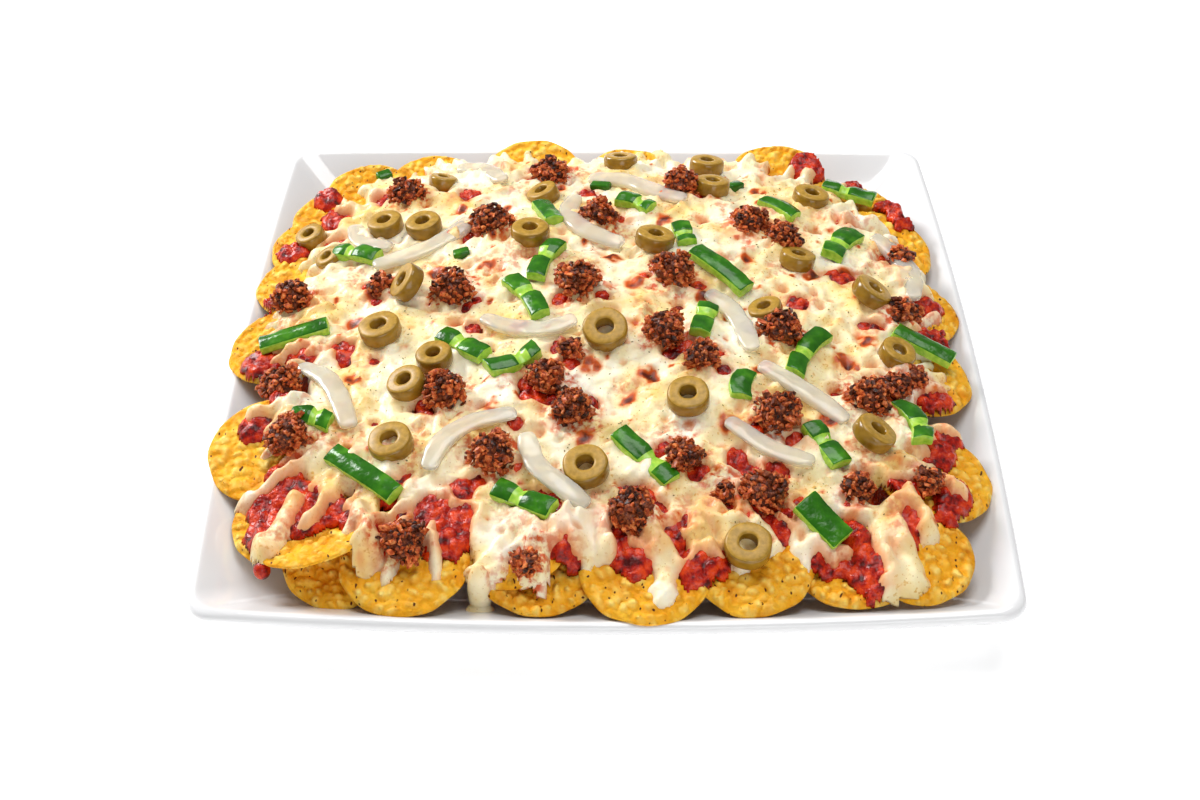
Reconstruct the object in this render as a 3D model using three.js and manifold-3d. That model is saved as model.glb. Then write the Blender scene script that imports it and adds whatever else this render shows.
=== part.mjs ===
// Nachos on a square white porcelain platter: round tortilla chips with chunky salsa, under a blanket
// of melted cheese that carries crumbles of browned beef, rings of green olive, strips of green pepper
// and arcs of white onion.
//
// Millimetres, +Z up. The origin is the centre of the platter's footprint, on the table, and -Y is the
// side of the platter nearest to the diner. The platter measures 12 inches across the middle of its sides.
//
// The heap is a mound with a square plan. Its upper surface is one function, heapTop(x, y), and every
// piece takes its height and its lean from it. Chips ring the mound and lean on the platter's rim.
// Toppings lie where the plan puts them and are let down until they almost touch what is below.

import * as THREE from "three";
import { mergeVertices } from "three/addons/utils/BufferGeometryUtils.js";
import Module from "manifold-3d";

const wasm = await Module();
wasm.setup();

const GAP = 0.3; // what touching pieces keep between them
const TAU = 2 * Math.PI;
const degrees = THREE.MathUtils.degToRad;

// The platter.
const PLATTER_HALF = 147.5; // from the centre to a side, at the corners
const PLATTER_BOW = 4.8; // how far each side bulges at its middle
const CORNER_LIFT = 2; // how far the rim's corners stand above its middles
const RIM_Z = 24;
const FLOOR_Z = 9.5;
const RECESS_Z = 3.2; // the underside, inside the foot
const CORNER_RADIUS = 9;
const SIDE_STEPS = 4;
const CORNER_STEPS = 3;

// The mound's upper surface, without the chips that lean on its sides.
const HEAP_HALF = 142;
const HEAP_SQUARENESS = 3.2; // the exponent of the plan's superellipse
const HEAP_EDGE_Z = 24;
const HEAP_RISE = 27;
const HEAP_FULLNESS = 0.8;

// The layers. The cheese and the bed of chips under it share one grid of spokes and rings.
const SPOKES = 48;
const COVER_BLUR = 3; // the reach over which the cheese rounds off steps
const CHEESE_HALF = 127;
const CHEESE_DEPTH = 5.6; // at the middle
const CHEESE_EDGE_DEPTH = 3.4;
const CHEESE_LAP = 2.2; // its thickness over a chip
const CHEESE_RINGS = [0.2, 0.42, 0.62, 0.79, 0.92, 1]; // each ring's share of the way out
const BED_RINGS = [0.35, 0.7, 0.95];
const BED_FOOT_HALF = 107;
const BED_ROOM = 1.003; // what the beef leaves clear round the bed
const CHIP_THICKNESS = 2;
const CHIP_SIDES = 12;
const CHIP_TURN = 47; // from one chip to the next, in degrees

// The toppings.
const SALSA_HEIGHT = 0.6; // a lump's share of its width
const SALSA_SEED = 300;
const TONGUE_THICKNESS = 4.8;
const TONGUE_DIP = 14; // how steeply a tongue of cheese runs down, in degrees
const TONGUE_SUNK = 0.6;
const BEEF_SEED = 7;
const BEEF_ROUGHNESS = [0.86, 0.26]; // the least share of the radius, and how much more there may be
const BEEF_RISE = 0.35; // how far a crumble's middle stands above the cheese, as a share of its radius
const SMALL_BEEF = 9; // crumbles up to this radius have fewer faces
const OLIVE_HEIGHT = 6.6;
const OLIVE_HOLE = 0.4; // the hole's share of the olive's width
const OLIVE_SIDES = 12;
const PEPPER_WIDTH = 8.5;
const PEPPER_THICKNESS = 5;
const ONION_WIDTH = 5.5;
const ONION_THICKNESS = 3.2;

const COLOURS = {
  porcelain: { color: 0xf4f3f2, roughness: 0.15 },
  chips: { color: 0xe9a93a, roughness: 0.7 },
  cheese: { color: 0xf0dfb0, roughness: 0.45 },
  olive: { color: 0x93802f, roughness: 0.35 },
  pepper: { color: 0x2f8a22, roughness: 0.25 },
  onion: { color: 0xefe9da, roughness: 0.3 },
};

// A small generator of repeatable random numbers from 0 to 1.
function seeded(seed) {
  let state = seed;
  return () => {
    state = (state * 1664525 + 1013904223) % 4294967296;
    return state / 4294967296;
  };
}

// A closed geometry as a solid.
function solidOf(geometry) {
  const bare = new THREE.BufferGeometry();
  bare.setAttribute("position", geometry.getAttribute("position"));
  bare.setIndex(geometry.index);
  const merged = mergeVertices(bare, 1e-3);
  const corners = merged.index.array;
  const faces = [];
  for (let i = 0; i < corners.length; i += 3) {
    const [a, b, c] = corners.slice(i, i + 3);
    if (a !== b && b !== c && c !== a) faces.push(a, b, c);
  }
  const build = (triVerts) =>
    new wasm.Manifold(
      new wasm.Mesh({
        numProp: 3,
        vertProperties: merged.attributes.position.array,
        triVerts: new Uint32Array(triVerts),
      }),
    );
  const made = build(faces);
  return made.volume() > 0 ? made : build(faces.reverse());
}

// A solid as a geometry.
function geometryOf(solid) {
  const mesh = solid.getMesh();
  const geometry = new THREE.BufferGeometry();
  geometry.setAttribute("position", new THREE.BufferAttribute(mesh.vertProperties, 3));
  geometry.setIndex(new THREE.BufferAttribute(mesh.triVerts, 1));
  geometry.computeVertexNormals();
  return geometry;
}

// Moves every vertex of a geometry by a function of its place.
function reshape(geometry, move) {
  const position = geometry.getAttribute("position");
  const point = new THREE.Vector3();
  for (let i = 0; i < position.count; i++) {
    move(point.fromBufferAttribute(position, i));
    position.setXYZ(i, point.x, point.y, point.z);
  }
  return geometry;
}

// The closed surface through rings of equally many points, with a fan to the middle of the first and last.
function loft(rings) {
  const count = rings[0].length;
  const middle = (ring) =>
    ring.reduce((sum, p) => sum.add(p), new THREE.Vector3()).divideScalar(count);
  const points = [middle(rings[0]), ...rings.flat(), middle(rings.at(-1))];
  const last = points.length - 1;
  const at = (ring, i) => 1 + ring * count + (i % count);
  const faces = [];
  for (let i = 0; i < count; i++) {
    faces.push(0, at(0, i), at(0, i + 1));
    for (let ring = 0; ring + 1 < rings.length; ring++) {
      faces.push(at(ring, i), at(ring + 1, i), at(ring + 1, i + 1));
      faces.push(at(ring, i), at(ring + 1, i + 1), at(ring, i + 1));
    }
    faces.push(last, at(rings.length - 1, i + 1), at(rings.length - 1, i));
  }
  return new THREE.BufferGeometry().setFromPoints(points).setIndex(faces);
}

const union = (solids) => wasm.Manifold.union(solids);
const moved = (solid, matrix) => solid.transform(matrix.elements);
const largest = (solid) =>
  solid.decompose().reduce((best, body) => (body.volume() > best.volume() ? body : best));

// A square ring with rounded corners, bowed sides and lifted corners.
function platterRing(half, z) {
  const straight = half - CORNER_RADIUS;
  const corners = [[1, 1], [-1, 1], [-1, -1], [1, -1]];
  const ring = [];
  corners.forEach(([sx, sy], quarter) => {
    for (let i = 0; i <= CORNER_STEPS; i++) {
      const angle = (quarter + i / CORNER_STEPS) * (TAU / 4);
      ring.push([
        sx * straight + CORNER_RADIUS * Math.cos(angle),
        sy * straight + CORNER_RADIUS * Math.sin(angle),
      ]);
    }
    const [nx, ny] = corners[(quarter + 1) % 4];
    const from = ring.at(-1);
    const angle = (quarter + 1) * (TAU / 4);
    const to = [
      nx * straight + CORNER_RADIUS * Math.cos(angle),
      ny * straight + CORNER_RADIUS * Math.sin(angle),
    ];
    for (let i = 1; i < SIDE_STEPS; i++) {
      const share = i / SIDE_STEPS;
      ring.push([from[0] + (to[0] - from[0]) * share, from[1] + (to[1] - from[1]) * share]);
    }
  });
  const raised = Math.max(0, (z - FLOOR_Z) / (RIM_Z - FLOOR_Z));
  return ring.map(([x, y]) => {
    const u = x / half;
    const v = y / half;
    const bow = PLATTER_BOW / PLATTER_HALF;
    return new THREE.Vector3(
      x * (1 + bow * Math.max(0, 1 - v * v)),
      y * (1 + bow * Math.max(0, 1 - u * u)),
      z + CORNER_LIFT * raised * (u * v) ** 2,
    );
  });
}

// The platter's section, from the middle of its floor over the rim to the middle of its underside.
function platterSolid() {
  const section = [
    [PLATTER_HALF - 30, FLOOR_Z],
    [PLATTER_HALF - 24, FLOOR_Z + 1.1],
    [PLATTER_HALF - 14, RIM_Z - 7.6],
    [PLATTER_HALF - 4.4, RIM_Z - 0.9],
    [PLATTER_HALF - 2.6, RIM_Z],
    [PLATTER_HALF - 0.7, RIM_Z - 0.6],
    [PLATTER_HALF, RIM_Z - 2.2],
    [PLATTER_HALF - 0.8, RIM_Z - 4.6],
    [PLATTER_HALF - 4.5, RIM_Z - 5.8],
    [PLATTER_HALF - 20, RECESS_Z + 4],
    [PLATTER_HALF - 27, 0],
    [PLATTER_HALF - 32, 0],
    [PLATTER_HALF - 34.5, RECESS_Z],
  ];
  return solidOf(loft(section.map(([half, z]) => platterRing(half, z))));
}

// The mound's surface.
function heapTop(x, y) {
  const n = HEAP_SQUARENESS;
  const reach = (Math.abs(x / HEAP_HALF) ** n + Math.abs(y / HEAP_HALF) ** n) ** (1 / n);
  const dome = Math.max(0, 1 - reach * reach) ** HEAP_FULLNESS;
  const swell =
    1.1 * Math.sin(x / 13 + 1) * Math.cos(y / 15) + 0.8 * Math.sin((x + y) / 20 + 2);
  return HEAP_EDGE_Z + HEAP_RISE * dome + swell;
}

// The unit vector of a piece that leans by a tilt towards a direction in plan.
function leaning(facing, tilt) {
  const [f, t] = [degrees(facing), degrees(tilt)];
  return new THREE.Vector3(Math.sin(t) * Math.cos(f), Math.sin(t) * Math.sin(f), Math.cos(t));
}

// The chips that show: centre, radius, the plan direction that each faces and how far it leans that way.
const CHIPS = [
  { x: -117, y: -100, z: 27, radius: 22, facing: 200, tilt: 12 },
  { x: -105, y: -112, z: 31, radius: 23, facing: 125, tilt: 22 },
  { x: -96, y: -118.5, z: 24.5, radius: 21, facing: 262, tilt: 9 },
  { x: -72, y: -125, z: 30, radius: 23, facing: 268, tilt: 12 },
  { x: -34, y: -114, z: 33, radius: 24, facing: 215, tilt: 16 },
  { x: -24, y: -124, z: 26.6, radius: 22, facing: 275, tilt: 4 },
  { x: 14, y: -128.5, z: 30.8, radius: 23.8, facing: 267, tilt: 13 },
  { x: 52, y: -125, z: 30.3, radius: 22.6, facing: 272, tilt: 13 },
  { x: 88, y: -121, z: 26.6, radius: 22, facing: 280, tilt: 5 },
  { x: 111, y: -120, z: 28.8, radius: 21.5, facing: 300, tilt: 11 },
  { x: 122.5, y: -81, z: 31, radius: 23.8, facing: 350, tilt: 14 },
  { x: 123, y: -22, z: 31.5, radius: 24.5, facing: 345, tilt: 14 },
  { x: 126, y: 20, z: 30.5, radius: 22.5, facing: 5, tilt: 12 },
  { x: 120, y: 64, z: 31, radius: 23.5, facing: 345, tilt: 12 },
  { x: 112, y: 92, z: 29.5, radius: 22, facing: 20, tilt: 8 },
  { x: 79.5, y: 119, z: 28, radius: 22, facing: 268, tilt: 15 },
  { x: 48, y: 117, z: 25.5, radius: 21, facing: 270, tilt: 6 },
  { x: 11, y: 119, z: 27, radius: 21.5, facing: 270, tilt: 14 },
  { x: -33, y: 120, z: 28.5, radius: 23, facing: 270, tilt: 16 },
  { x: -78, y: 113, z: 27, radius: 22.5, facing: 275, tilt: 10 },
  { x: -105, y: 106, z: 27, radius: 22, facing: 285, tilt: 11 },
  { x: -118, y: 84, z: 28.5, radius: 22, facing: 250, tilt: 9 },
  { x: -127, y: 66, z: 29, radius: 19.5, facing: 180, tilt: 6 },
  { x: -128, y: 39, z: 30, radius: 21.5, facing: 180, tilt: 12 },
  { x: -131, y: -4, z: 31, radius: 23.5, facing: 185, tilt: 12 },
  { x: -128, y: -68, z: 32, radius: 24, facing: 235, tilt: 15 },
];

// The height of a chip's upper face at a place in plan, or none where the chip doesn't reach.
function chipTop(chip, x, y) {
  const normal = leaning(chip.facing, chip.tilt);
  const [dx, dy] = [x - chip.x, y - chip.y];
  const dz = -(normal.x * dx + normal.y * dy) / normal.z;
  const inside = Math.hypot(dx, dy, dz) < chip.radius;
  return inside ? chip.z + dz + CHIP_THICKNESS / 2 : -Infinity;
}

// The upper surface of the cheese: it drapes over the mound and over the chips, and rounds off steps.
function coverTop(x, y) {
  const r = COVER_BLUR;
  const around = [[0, 0], [r, 0], [-r, 0], [0, r], [0, -r]];
  const heights = around.map(([dx, dy]) =>
    Math.max(
      heapTop(x + dx, y + dy),
      ...CHIPS.map((chip) => chipTop(chip, x + dx, y + dy) + CHEESE_LAP),
    ),
  );
  return heights.reduce((sum, height) => sum + height) / heights.length;
}

// The direction that the cheese faces at a place.
function coverNormal(x, y) {
  const step = 5;
  return new THREE.Vector3(
    coverTop(x - step, y) - coverTop(x + step, y),
    coverTop(x, y - step) - coverTop(x, y + step),
    2 * step,
  ).normalize();
}

// How far the cheese reaches along a spoke: its edge has lobes of several sizes.
function cheeseReach(angle) {
  return (
    CHEESE_HALF +
    3 * Math.sin(6 * angle + 0.6) +
    2.5 * Math.sin(11 * angle + 5.3) +
    1.5 * Math.sin(17 * angle)
  );
}

// One ring of the shared grid, with its height from a function of the plan.
function moundRing(reach, height) {
  return Array.from({ length: SPOKES }, (_, i) => {
    const angle = (i / SPOKES) * TAU;
    const [c, s] = [Math.cos(angle), Math.sin(angle)];
    const n = HEAP_SQUARENESS;
    const radius = reach(angle) / (Math.abs(c) ** n + Math.abs(s) ** n) ** (1 / n);
    const [x, y] = [radius * c, radius * s];
    return new THREE.Vector3(x, y, height(x, y));
  });
}

// The underside of the cheese at one share of the way out, and the bed's top just below it.
function underCheese(share, gap) {
  const depth = CHEESE_DEPTH + (CHEESE_EDGE_DEPTH - CHEESE_DEPTH) * share;
  return moundRing((angle) => share * cheeseReach(angle), (x, y) => coverTop(x, y) - depth - gap);
}

// The chips and sauce that fill the middle of the heap, out of sight under the cheese.
function bedSolid(gap = GAP) {
  const foot = moundRing(() => BED_FOOT_HALF, () => FLOOR_Z + gap);
  return solidOf(loft([...BED_RINGS.map((share) => underCheese(share, gap)), foot]));
}

// The blanket of cheese: it follows the mound and ends in a thin rounded edge.
function cheeseBlanket() {
  const under = BED_RINGS.map((share) => underCheese(share, 0));
  const top = CHEESE_RINGS.map((share) =>
    moundRing(
      (angle) => share * cheeseReach(angle),
      (x, y) => coverTop(x, y) - (share === 1 ? 1 : 0),
    ),
  );
  return solidOf(loft([...under, ...top.reverse()]));
}

// A round tortilla chip that faces +Z.
function chipSolid(radius, grow = 0) {
  const half = CHIP_THICKNESS / 2 + grow;
  const reach = radius + grow;
  const profile = [[0, half], [reach, half], [reach, -half], [0, -half]];
  const section = profile.map(([r, z]) => new THREE.Vector2(r, z));
  const disc = new THREE.LatheGeometry(section, CHIP_SIDES);
  disc.rotateX(Math.PI / 2);
  return solidOf(disc);
}

// Where a piece goes: its place, the direction that it faces and its turn about that direction.
function placing(x, y, z, normal, turn) {
  const upright = new THREE.Quaternion().setFromUnitVectors(new THREE.Vector3(0, 0, 1), normal);
  const turned = new THREE.Quaternion().setFromAxisAngle(new THREE.Vector3(0, 0, 1), degrees(turn));
  return new THREE.Matrix4().compose(
    new THREE.Vector3(x, y, z),
    upright.multiply(turned),
    new THREE.Vector3(1, 1, 1),
  );
}

// Lumps of tomato in the sauce, where it runs out from under the cheese: place and size.
const SALSA = [
  [84, -116, 8], [93, -127, 8], [97, -137, 4.5], [128, -64, 6.5], [126, -92, 7], [129, -45, 6],
  [31, -130, 6], [3, -125, 6], [-19, -122, 6.5], [-54, -116, 7], [-103, -101, 6], [-126, -97, 6.5],
  [-138, -19, 6], [-135, 24, 5], [95, 117, 6.5], [131, 84, 6],
];

function salsaLump([x, y, size], index, grow = 0) {
  const random = seeded(SALSA_SEED + index);
  const radius = size + grow;
  const lump = new THREE.IcosahedronGeometry(1, 0);
  lump.rotateZ(random() * TAU);
  lump.scale(radius, radius * 0.85, radius * SALSA_HEIGHT);
  return moved(solidOf(lump), placing(x, y, coverTop(x, y) - CHEESE_LAP, coverNormal(x, y), 0));
}

const chipPlace = (chip, index) =>
  placing(chip.x, chip.y, chip.z, leaning(chip.facing, chip.tilt), index * CHIP_TURN);
const chipSolids = (grow = 0) =>
  CHIPS.map((chip, index) => moved(chipSolid(chip.radius, grow), chipPlace(chip, index)));

// Tongues of cheese that have run down over the chips: from, to and width.
const TONGUES = [
  { from: [-45, -116], to: [-46, -143], width: 12 },
  { from: [17, -114], to: [20, -140], width: 9 },
  { from: [-84, -110], to: [-86, -128], width: 10 },
  { from: [-113, -100], to: [-123, -122], width: 11 },
  { from: [104, -108], to: [108, -132], width: 13 },
];

function tongueSolid({ from, to, width }) {
  const [dx, dy] = [to[0] - from[0], to[1] - from[1]];
  const length = Math.hypot(dx, dy);
  const blob = new THREE.IcosahedronGeometry(1, 1);
  blob.scale(length / 2 + width / 2, width / 2, TONGUE_THICKNESS / 2);
  blob.rotateY(degrees(TONGUE_DIP)).rotateZ(Math.atan2(dy, dx));
  const [x, y] = [(from[0] + to[0]) / 2, (from[1] + to[1]) / 2];
  return solidOf(blob.translate(x, y, coverTop(x, y) - TONGUE_SUNK));
}

// Crumbs of beef that have rolled onto the bare chips: place and radius.
const LOOSE_BEEF = [[118, -92, 6], [-28, -132, 5.5]];

// Crumbles of browned beef, which sit a third deep in the cheese.
const BEEF = [
  [-87, 86, 9], [-48, 51, 9.5], [-24, 104, 9], [-3, 60, 9], [33, 88, 9], [-62, 7, 9.5], [-92, 19, 6],
  [-11, 6, 9.5], [27, 15, 9.5], [61, 54, 8.5], [74, 46, 8.5], [69, -17, 9.5], [23, -24, 9],
  [37, -39, 7.5], [-129, 16, 9], [-126, -37, 9.5], [-119, -69, 9.5], [-61, -54, 9], [-23, -49, 8],
  [-13, -64, 8.5], [-42, -86, 9.5], [-72, -122, 9], [9, -111, 9.5], [28, -86, 7.5], [64, -66, 9.5],
  [57, -101, 9.5], [43, -101, 5], [100, -50, 9.5], [112, -41, 7], [121, 5, 8], [91, -97, 6.5],
  [121, -33, 5.5], [126, 49, 6], [-14, -33, 5],
];

function beefCrumble([x, y, size], index, grow = 0) {
  const radius = size + grow;
  const random = seeded(BEEF_SEED + index);
  const detail = radius > SMALL_BEEF ? 1 : 0;
  const ball = new THREE.IcosahedronGeometry(1, detail);
  const lump = mergeVertices(ball.deleteAttribute("normal").deleteAttribute("uv"), 1e-4);
  const [least, more] = BEEF_ROUGHNESS;
  reshape(lump, (p) => p.multiplyScalar(radius * (least + more * random())));
  lump.scale(1, 0.95, 0.85).rotateZ(random() * TAU);
  const [nx, ny, nz] = coverNormal(x, y).toArray();
  const rise = radius * BEEF_RISE;
  return solidOf(lump.translate(x + nx * rise, y + ny * rise, coverTop(x, y) + nz * rise));
}

// A slice of pitted olive, standing on z = 0 with its hole upright.
function oliveSolid(radius, grow = 0) {
  const outer = radius + grow;
  const hole = radius * OLIVE_HOLE;
  const bottom = -grow;
  const top = OLIVE_HEIGHT + grow;
  const profile = [
    [hole, bottom], [outer, bottom + 0.8], [outer, top - 0.8], [hole, top], [hole, bottom],
  ];
  const ring = new THREE.LatheGeometry(profile.map(([r, z]) => new THREE.Vector2(r, z)), OLIVE_SIDES);
  return solidOf(ring.rotateX(Math.PI / 2));
}

// A strip of pepper on z = 0: its skin is the crowned upper face. It bends sideways and arches upwards.
function pepperSolid({ length, bend = 0, arch = 0, width = PEPPER_WIDTH }, grow = 0) {
  const box = new THREE.BoxGeometry(
    length + 2 * grow, width + 2 * grow, PEPPER_THICKNESS + 2 * grow, 4, 2, 1,
  ).translate(0, 0, PEPPER_THICKNESS / 2);
  return solidOf(
    reshape(box, (p) => {
      const along = (2 * p.x) / length;
      const across = (2 * p.y) / width;
      if (p.z > PEPPER_THICKNESS / 2) p.z -= 1.1 * across * across;
      p.y += bend * (1 - along * along);
      p.z += arch * (1 - along * along);
    }),
  );
}

// An arc of onion along a smooth line over the mound.
function onionSolid(plan, grow = 0) {
  const rise = ONION_THICKNESS / 2 + GAP + 0.25;
  const line = new THREE.CatmullRomCurve3(
    plan.map(([x, y]) => new THREE.Vector3(x, y, coverTop(x, y) + rise)),
  );
  const steps = 8;
  const box = new THREE.BoxGeometry(1, ONION_WIDTH + 2 * grow, ONION_THICKNESS + 2 * grow, steps, 1, 1);
  return solidOf(
    reshape(box, (p) => {
      const share = THREE.MathUtils.clamp(p.x + 0.5, 0, 1);
      const centre = line.getPointAt(share);
      centre.z = coverTop(centre.x, centre.y) + rise;
      const ahead = line.getTangentAt(share).setZ(0).normalize();
      const taper = 1 - 0.35 * (2 * share - 1) ** 4;
      const side = new THREE.Vector3(-ahead.y, ahead.x, 0).multiplyScalar(p.y * taper);
      const up = coverNormal(centre.x, centre.y).multiplyScalar(p.z);
      const end = Math.abs(p.x) > 0.49 ? Math.sign(p.x) * grow : 0;
      p.copy(centre).add(side).add(up).addScaledVector(ahead, end);
    }),
  );
}

// The olives: place, radius, and a lean beyond the mound's own slope.
const OLIVES = [
  { x: -94, y: 61, radius: 7.6 }, { x: -77, y: 56, radius: 7.6 },
  { x: -78, y: 10, radius: 8, facing: 190, tilt: 42 }, { x: -89, y: -14, radius: 8.5 },
  { x: -79, y: -79, radius: 8.6 }, { x: -75, y: -49, radius: 7.6, facing: 200, tilt: 12 },
  { x: -66, y: -35, radius: 7.2 }, { x: -31.5, y: 41, radius: 8 },
  { x: 20, y: 36, radius: 8, facing: 20, tilt: 12 },
  { x: 0, y: -25, radius: 8.8, facing: 260, tilt: 12 },
  { x: -7, y: -93, radius: 8.6, facing: 200, tilt: 6 }, { x: 31, y: -60, radius: 8.3 },
  { x: 50, y: -124, radius: 8.7 }, { x: 7, y: 113, radius: 7.6 }, { x: 46, y: 114, radius: 7.6 },
  { x: 47, y: 88, radius: 7.6 }, { x: 90, y: 84, radius: 8 },
  { x: 107, y: 12, radius: 8.5, facing: 20, tilt: 16 },
  { x: 114, y: -23, radius: 7.6, facing: 10, tilt: 6 },
  { x: 98, y: -75, radius: 8.4, facing: 5, tilt: 30 },
];

// The peppers: centre, length, turn in plan, and bends.
const PEPPERS = [
  { x: -125, y: -8, length: 29, turn: 12 }, { x: -105, y: 43, length: 22, turn: -25, arch: 1.5 },
  { x: -111.5, y: -63, length: 17, turn: -15, bend: 2 },
  { x: -88.5, y: -90, length: 36, turn: -43, arch: 1 },
  { x: -29, y: -107, length: 25, turn: -32 }, { x: 14, y: -87, length: 30, turn: -49 },
  { x: 77, y: -113.5, length: 20, turn: -46, width: 11 }, { x: 81, y: -79, length: 22, turn: -62 },
  { x: 115, y: -63, length: 25, turn: -78, bend: 3.5 }, { x: 127, y: -13, length: 26, turn: -28 },
  { x: 79, y: -29, length: 30, turn: 62, bend: 2.5 }, { x: 38.5, y: -15.5, length: 21, turn: 77 },
  { x: 52, y: -53, length: 14, turn: 80, bend: 1.5 }, { x: -32, y: -1, length: 28, turn: -62, bend: 2 },
  { x: -24, y: 22, length: 25, turn: 70, bend: 2 }, { x: -25, y: 62, length: 20, turn: -70 },
  { x: -55.5, y: -28, length: 24, turn: -40 }, { x: -36, y: -38, length: 22, turn: 30, bend: -3 },
  { x: 47, y: 19.5, length: 31, turn: -48, arch: 1 },
  { x: 101, y: 49, length: 26, turn: 60, bend: 2, width: 10 },
  { x: 33, y: 43, length: 15, turn: -80 }, { x: 75, y: 71, length: 18, turn: -40, bend: 2 },
  { x: 109, y: 97, length: 24, turn: -20 }, { x: 13, y: 70, length: 17, turn: -35, bend: 2 },
];

// The onions: points of each arc in plan.
const ONIONS = [
  [[-108, 66], [-104, 52], [-92, 46]],
  [[-96, 33.5], [-80, 38], [-65, 47], [-58, 57]],
  [[-66, 116], [-54, 111], [-46, 99]],
  [[-13, 77], [-16, 60], [-8, 47], [6, 38]],
  [[-6, 96], [8, 93], [20, 83], [34, 75]],
  [[-48, -12], [-37, -19], [-22, -21], [-13, -17]],
  [[-119, -28], [-109, -38], [-102, -51], [-97, -66]],
  [[-65, -91], [-61, -80], [-50, -71], [-35, -67]],
  [[-29.5, -79], [-26, -91], [-18, -102], [-8, -109.5]],
  [[42, 4], [50, -6], [54, -18], [57, -31]],
  [[60, -41], [71, -48], [82, -56], [90, -64]],
  [[46, -71], [56, -79], [66, -85], [75, -88]],
  [[116, 60], [124, 51], [129, 38], [128, 20]],
];

// Lets a piece down by steps until it almost touches what lies below.
function settle(piece, below) {
  const clear = (z) => piece.translate(0, 0, z).intersect(below).volume() < 0.02;
  let [high, low] = [14, -6];
  for (let i = 0; i < 10; i++) {
    const middle = (high + low) / 2;
    if (clear(middle)) high = middle;
    else low = middle;
  }
  return high;
}

const salsaSolids = (grow = 0) => SALSA.map((lump, index) => salsaLump(lump, index, grow));
const looseBeef = (grow = 0) => LOOSE_BEEF.map((crumb, index) => beefCrumble(crumb, index, grow));
const chips = largest(union([...chipSolids(), bedSolid(), ...salsaSolids(), ...looseBeef()]));
const platter = platterSolid();
const roomForChips = union([...chipSolids(GAP), ...salsaSolids(GAP), ...looseBeef(GAP)]);
const roomForBed = bedSolid(0).scale([BED_ROOM, BED_ROOM, 1]);
const tongues = union(TONGUES.map(tongueSolid)).subtract(roomForBed);
const bareCheese = largest(union([cheeseBlanket(), tongues]).subtract(roomForChips));
const below = union([chips, bareCheese]);

const toppings = [];
const roomFor = [];

// Adds a topping that is built by make(grow) and placed by the mound's slope and its own lean.
function lay(name, kind, make, { x, y, turn = 0, facing = 0, tilt = 0 }) {
  const lean = leaning(facing, tilt);
  const normal = coverNormal(x, y).add(lean.sub(new THREE.Vector3(0, 0, 1))).normalize();
  const place = placing(x, y, coverTop(x, y), normal, turn);
  const lift = settle(moved(make(GAP), place), below);
  toppings.push({ name, kind, solid: moved(make(0), place).translate(0, 0, lift) });
  roomFor.push(moved(make(GAP), place).translate(0, 0, lift));
}

const number = (index) => String(index + 1).padStart(2, "0");
OLIVES.forEach((olive, i) =>
  lay(`olive_${number(i)}`, "olive", (grow) => oliveSolid(olive.radius, grow), olive),
);
PEPPERS.forEach((pepper, i) =>
  lay(`pepper_${number(i)}`, "pepper", (grow) => pepperSolid(pepper, grow), pepper),
);
ONIONS.forEach((plan, i) => {
  const lift = settle(onionSolid(plan, GAP), below);
  const solid = onionSolid(plan).translate(0, 0, lift);
  toppings.push({ name: `onion_${number(i)}`, kind: "onion", solid });
  roomFor.push(onionSolid(plan, GAP).translate(0, 0, lift));
});

// The beef is fused to the cheese, clear of the toppings.
const roomAround = union(roomFor);
const beef = union(BEEF.map((crumble, index) => beefCrumble(crumble, index)))
  .subtract(roomAround)
  .subtract(roomForChips)
  .subtract(roomForBed);
const cheese = largest(union([bareCheese, beef]));

const nachos = new THREE.Group();

function addMesh(name, solid, kind) {
  const material = new THREE.MeshStandardMaterial({ ...COLOURS[kind], metalness: 0 });
  const mesh = new THREE.Mesh(geometryOf(solid), material);
  mesh.name = name;
  nachos.add(mesh);
}

addMesh("platter", platter, "porcelain");
addMesh("chips_and_salsa", chips, "chips");
addMesh("cheese_and_beef", cheese, "cheese");
toppings.forEach(({ name, kind, solid }) => addMesh(name, solid, kind));

export default nachos;
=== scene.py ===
# %% [markdown]
# # Nachos on a square platter
# A 12-inch white platter carries round tortilla chips with salsa, under a blanket of melted cheese.
# Crumbles of beef, rings of olive, strips of green pepper and arcs of onion are bedded in the cheese.
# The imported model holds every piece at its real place, so this script starts by loading it.

# %% Load the frame
import math

import bmesh
import bpy
import numpy as np
from mathutils import Matrix, Vector
from mathutils.bvhtree import BVHTree


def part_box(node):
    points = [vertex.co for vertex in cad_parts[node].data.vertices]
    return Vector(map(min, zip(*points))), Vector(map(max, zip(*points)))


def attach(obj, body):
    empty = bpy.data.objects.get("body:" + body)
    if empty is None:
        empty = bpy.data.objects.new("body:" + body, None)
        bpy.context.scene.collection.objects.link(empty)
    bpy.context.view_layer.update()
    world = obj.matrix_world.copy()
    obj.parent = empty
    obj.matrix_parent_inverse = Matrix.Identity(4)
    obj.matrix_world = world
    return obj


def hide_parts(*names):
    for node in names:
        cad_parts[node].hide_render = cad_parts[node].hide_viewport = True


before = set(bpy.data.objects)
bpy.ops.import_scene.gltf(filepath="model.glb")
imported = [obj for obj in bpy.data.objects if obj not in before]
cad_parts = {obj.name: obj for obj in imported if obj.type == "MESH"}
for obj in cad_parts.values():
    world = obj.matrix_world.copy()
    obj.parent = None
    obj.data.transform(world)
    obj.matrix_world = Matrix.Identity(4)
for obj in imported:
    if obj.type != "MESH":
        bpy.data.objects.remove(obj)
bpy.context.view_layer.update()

MM = 0.001  # the script thinks in millimetres and turns them into metres when a mesh is finished
print("nodes in the frame:", len(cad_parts))

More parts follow.
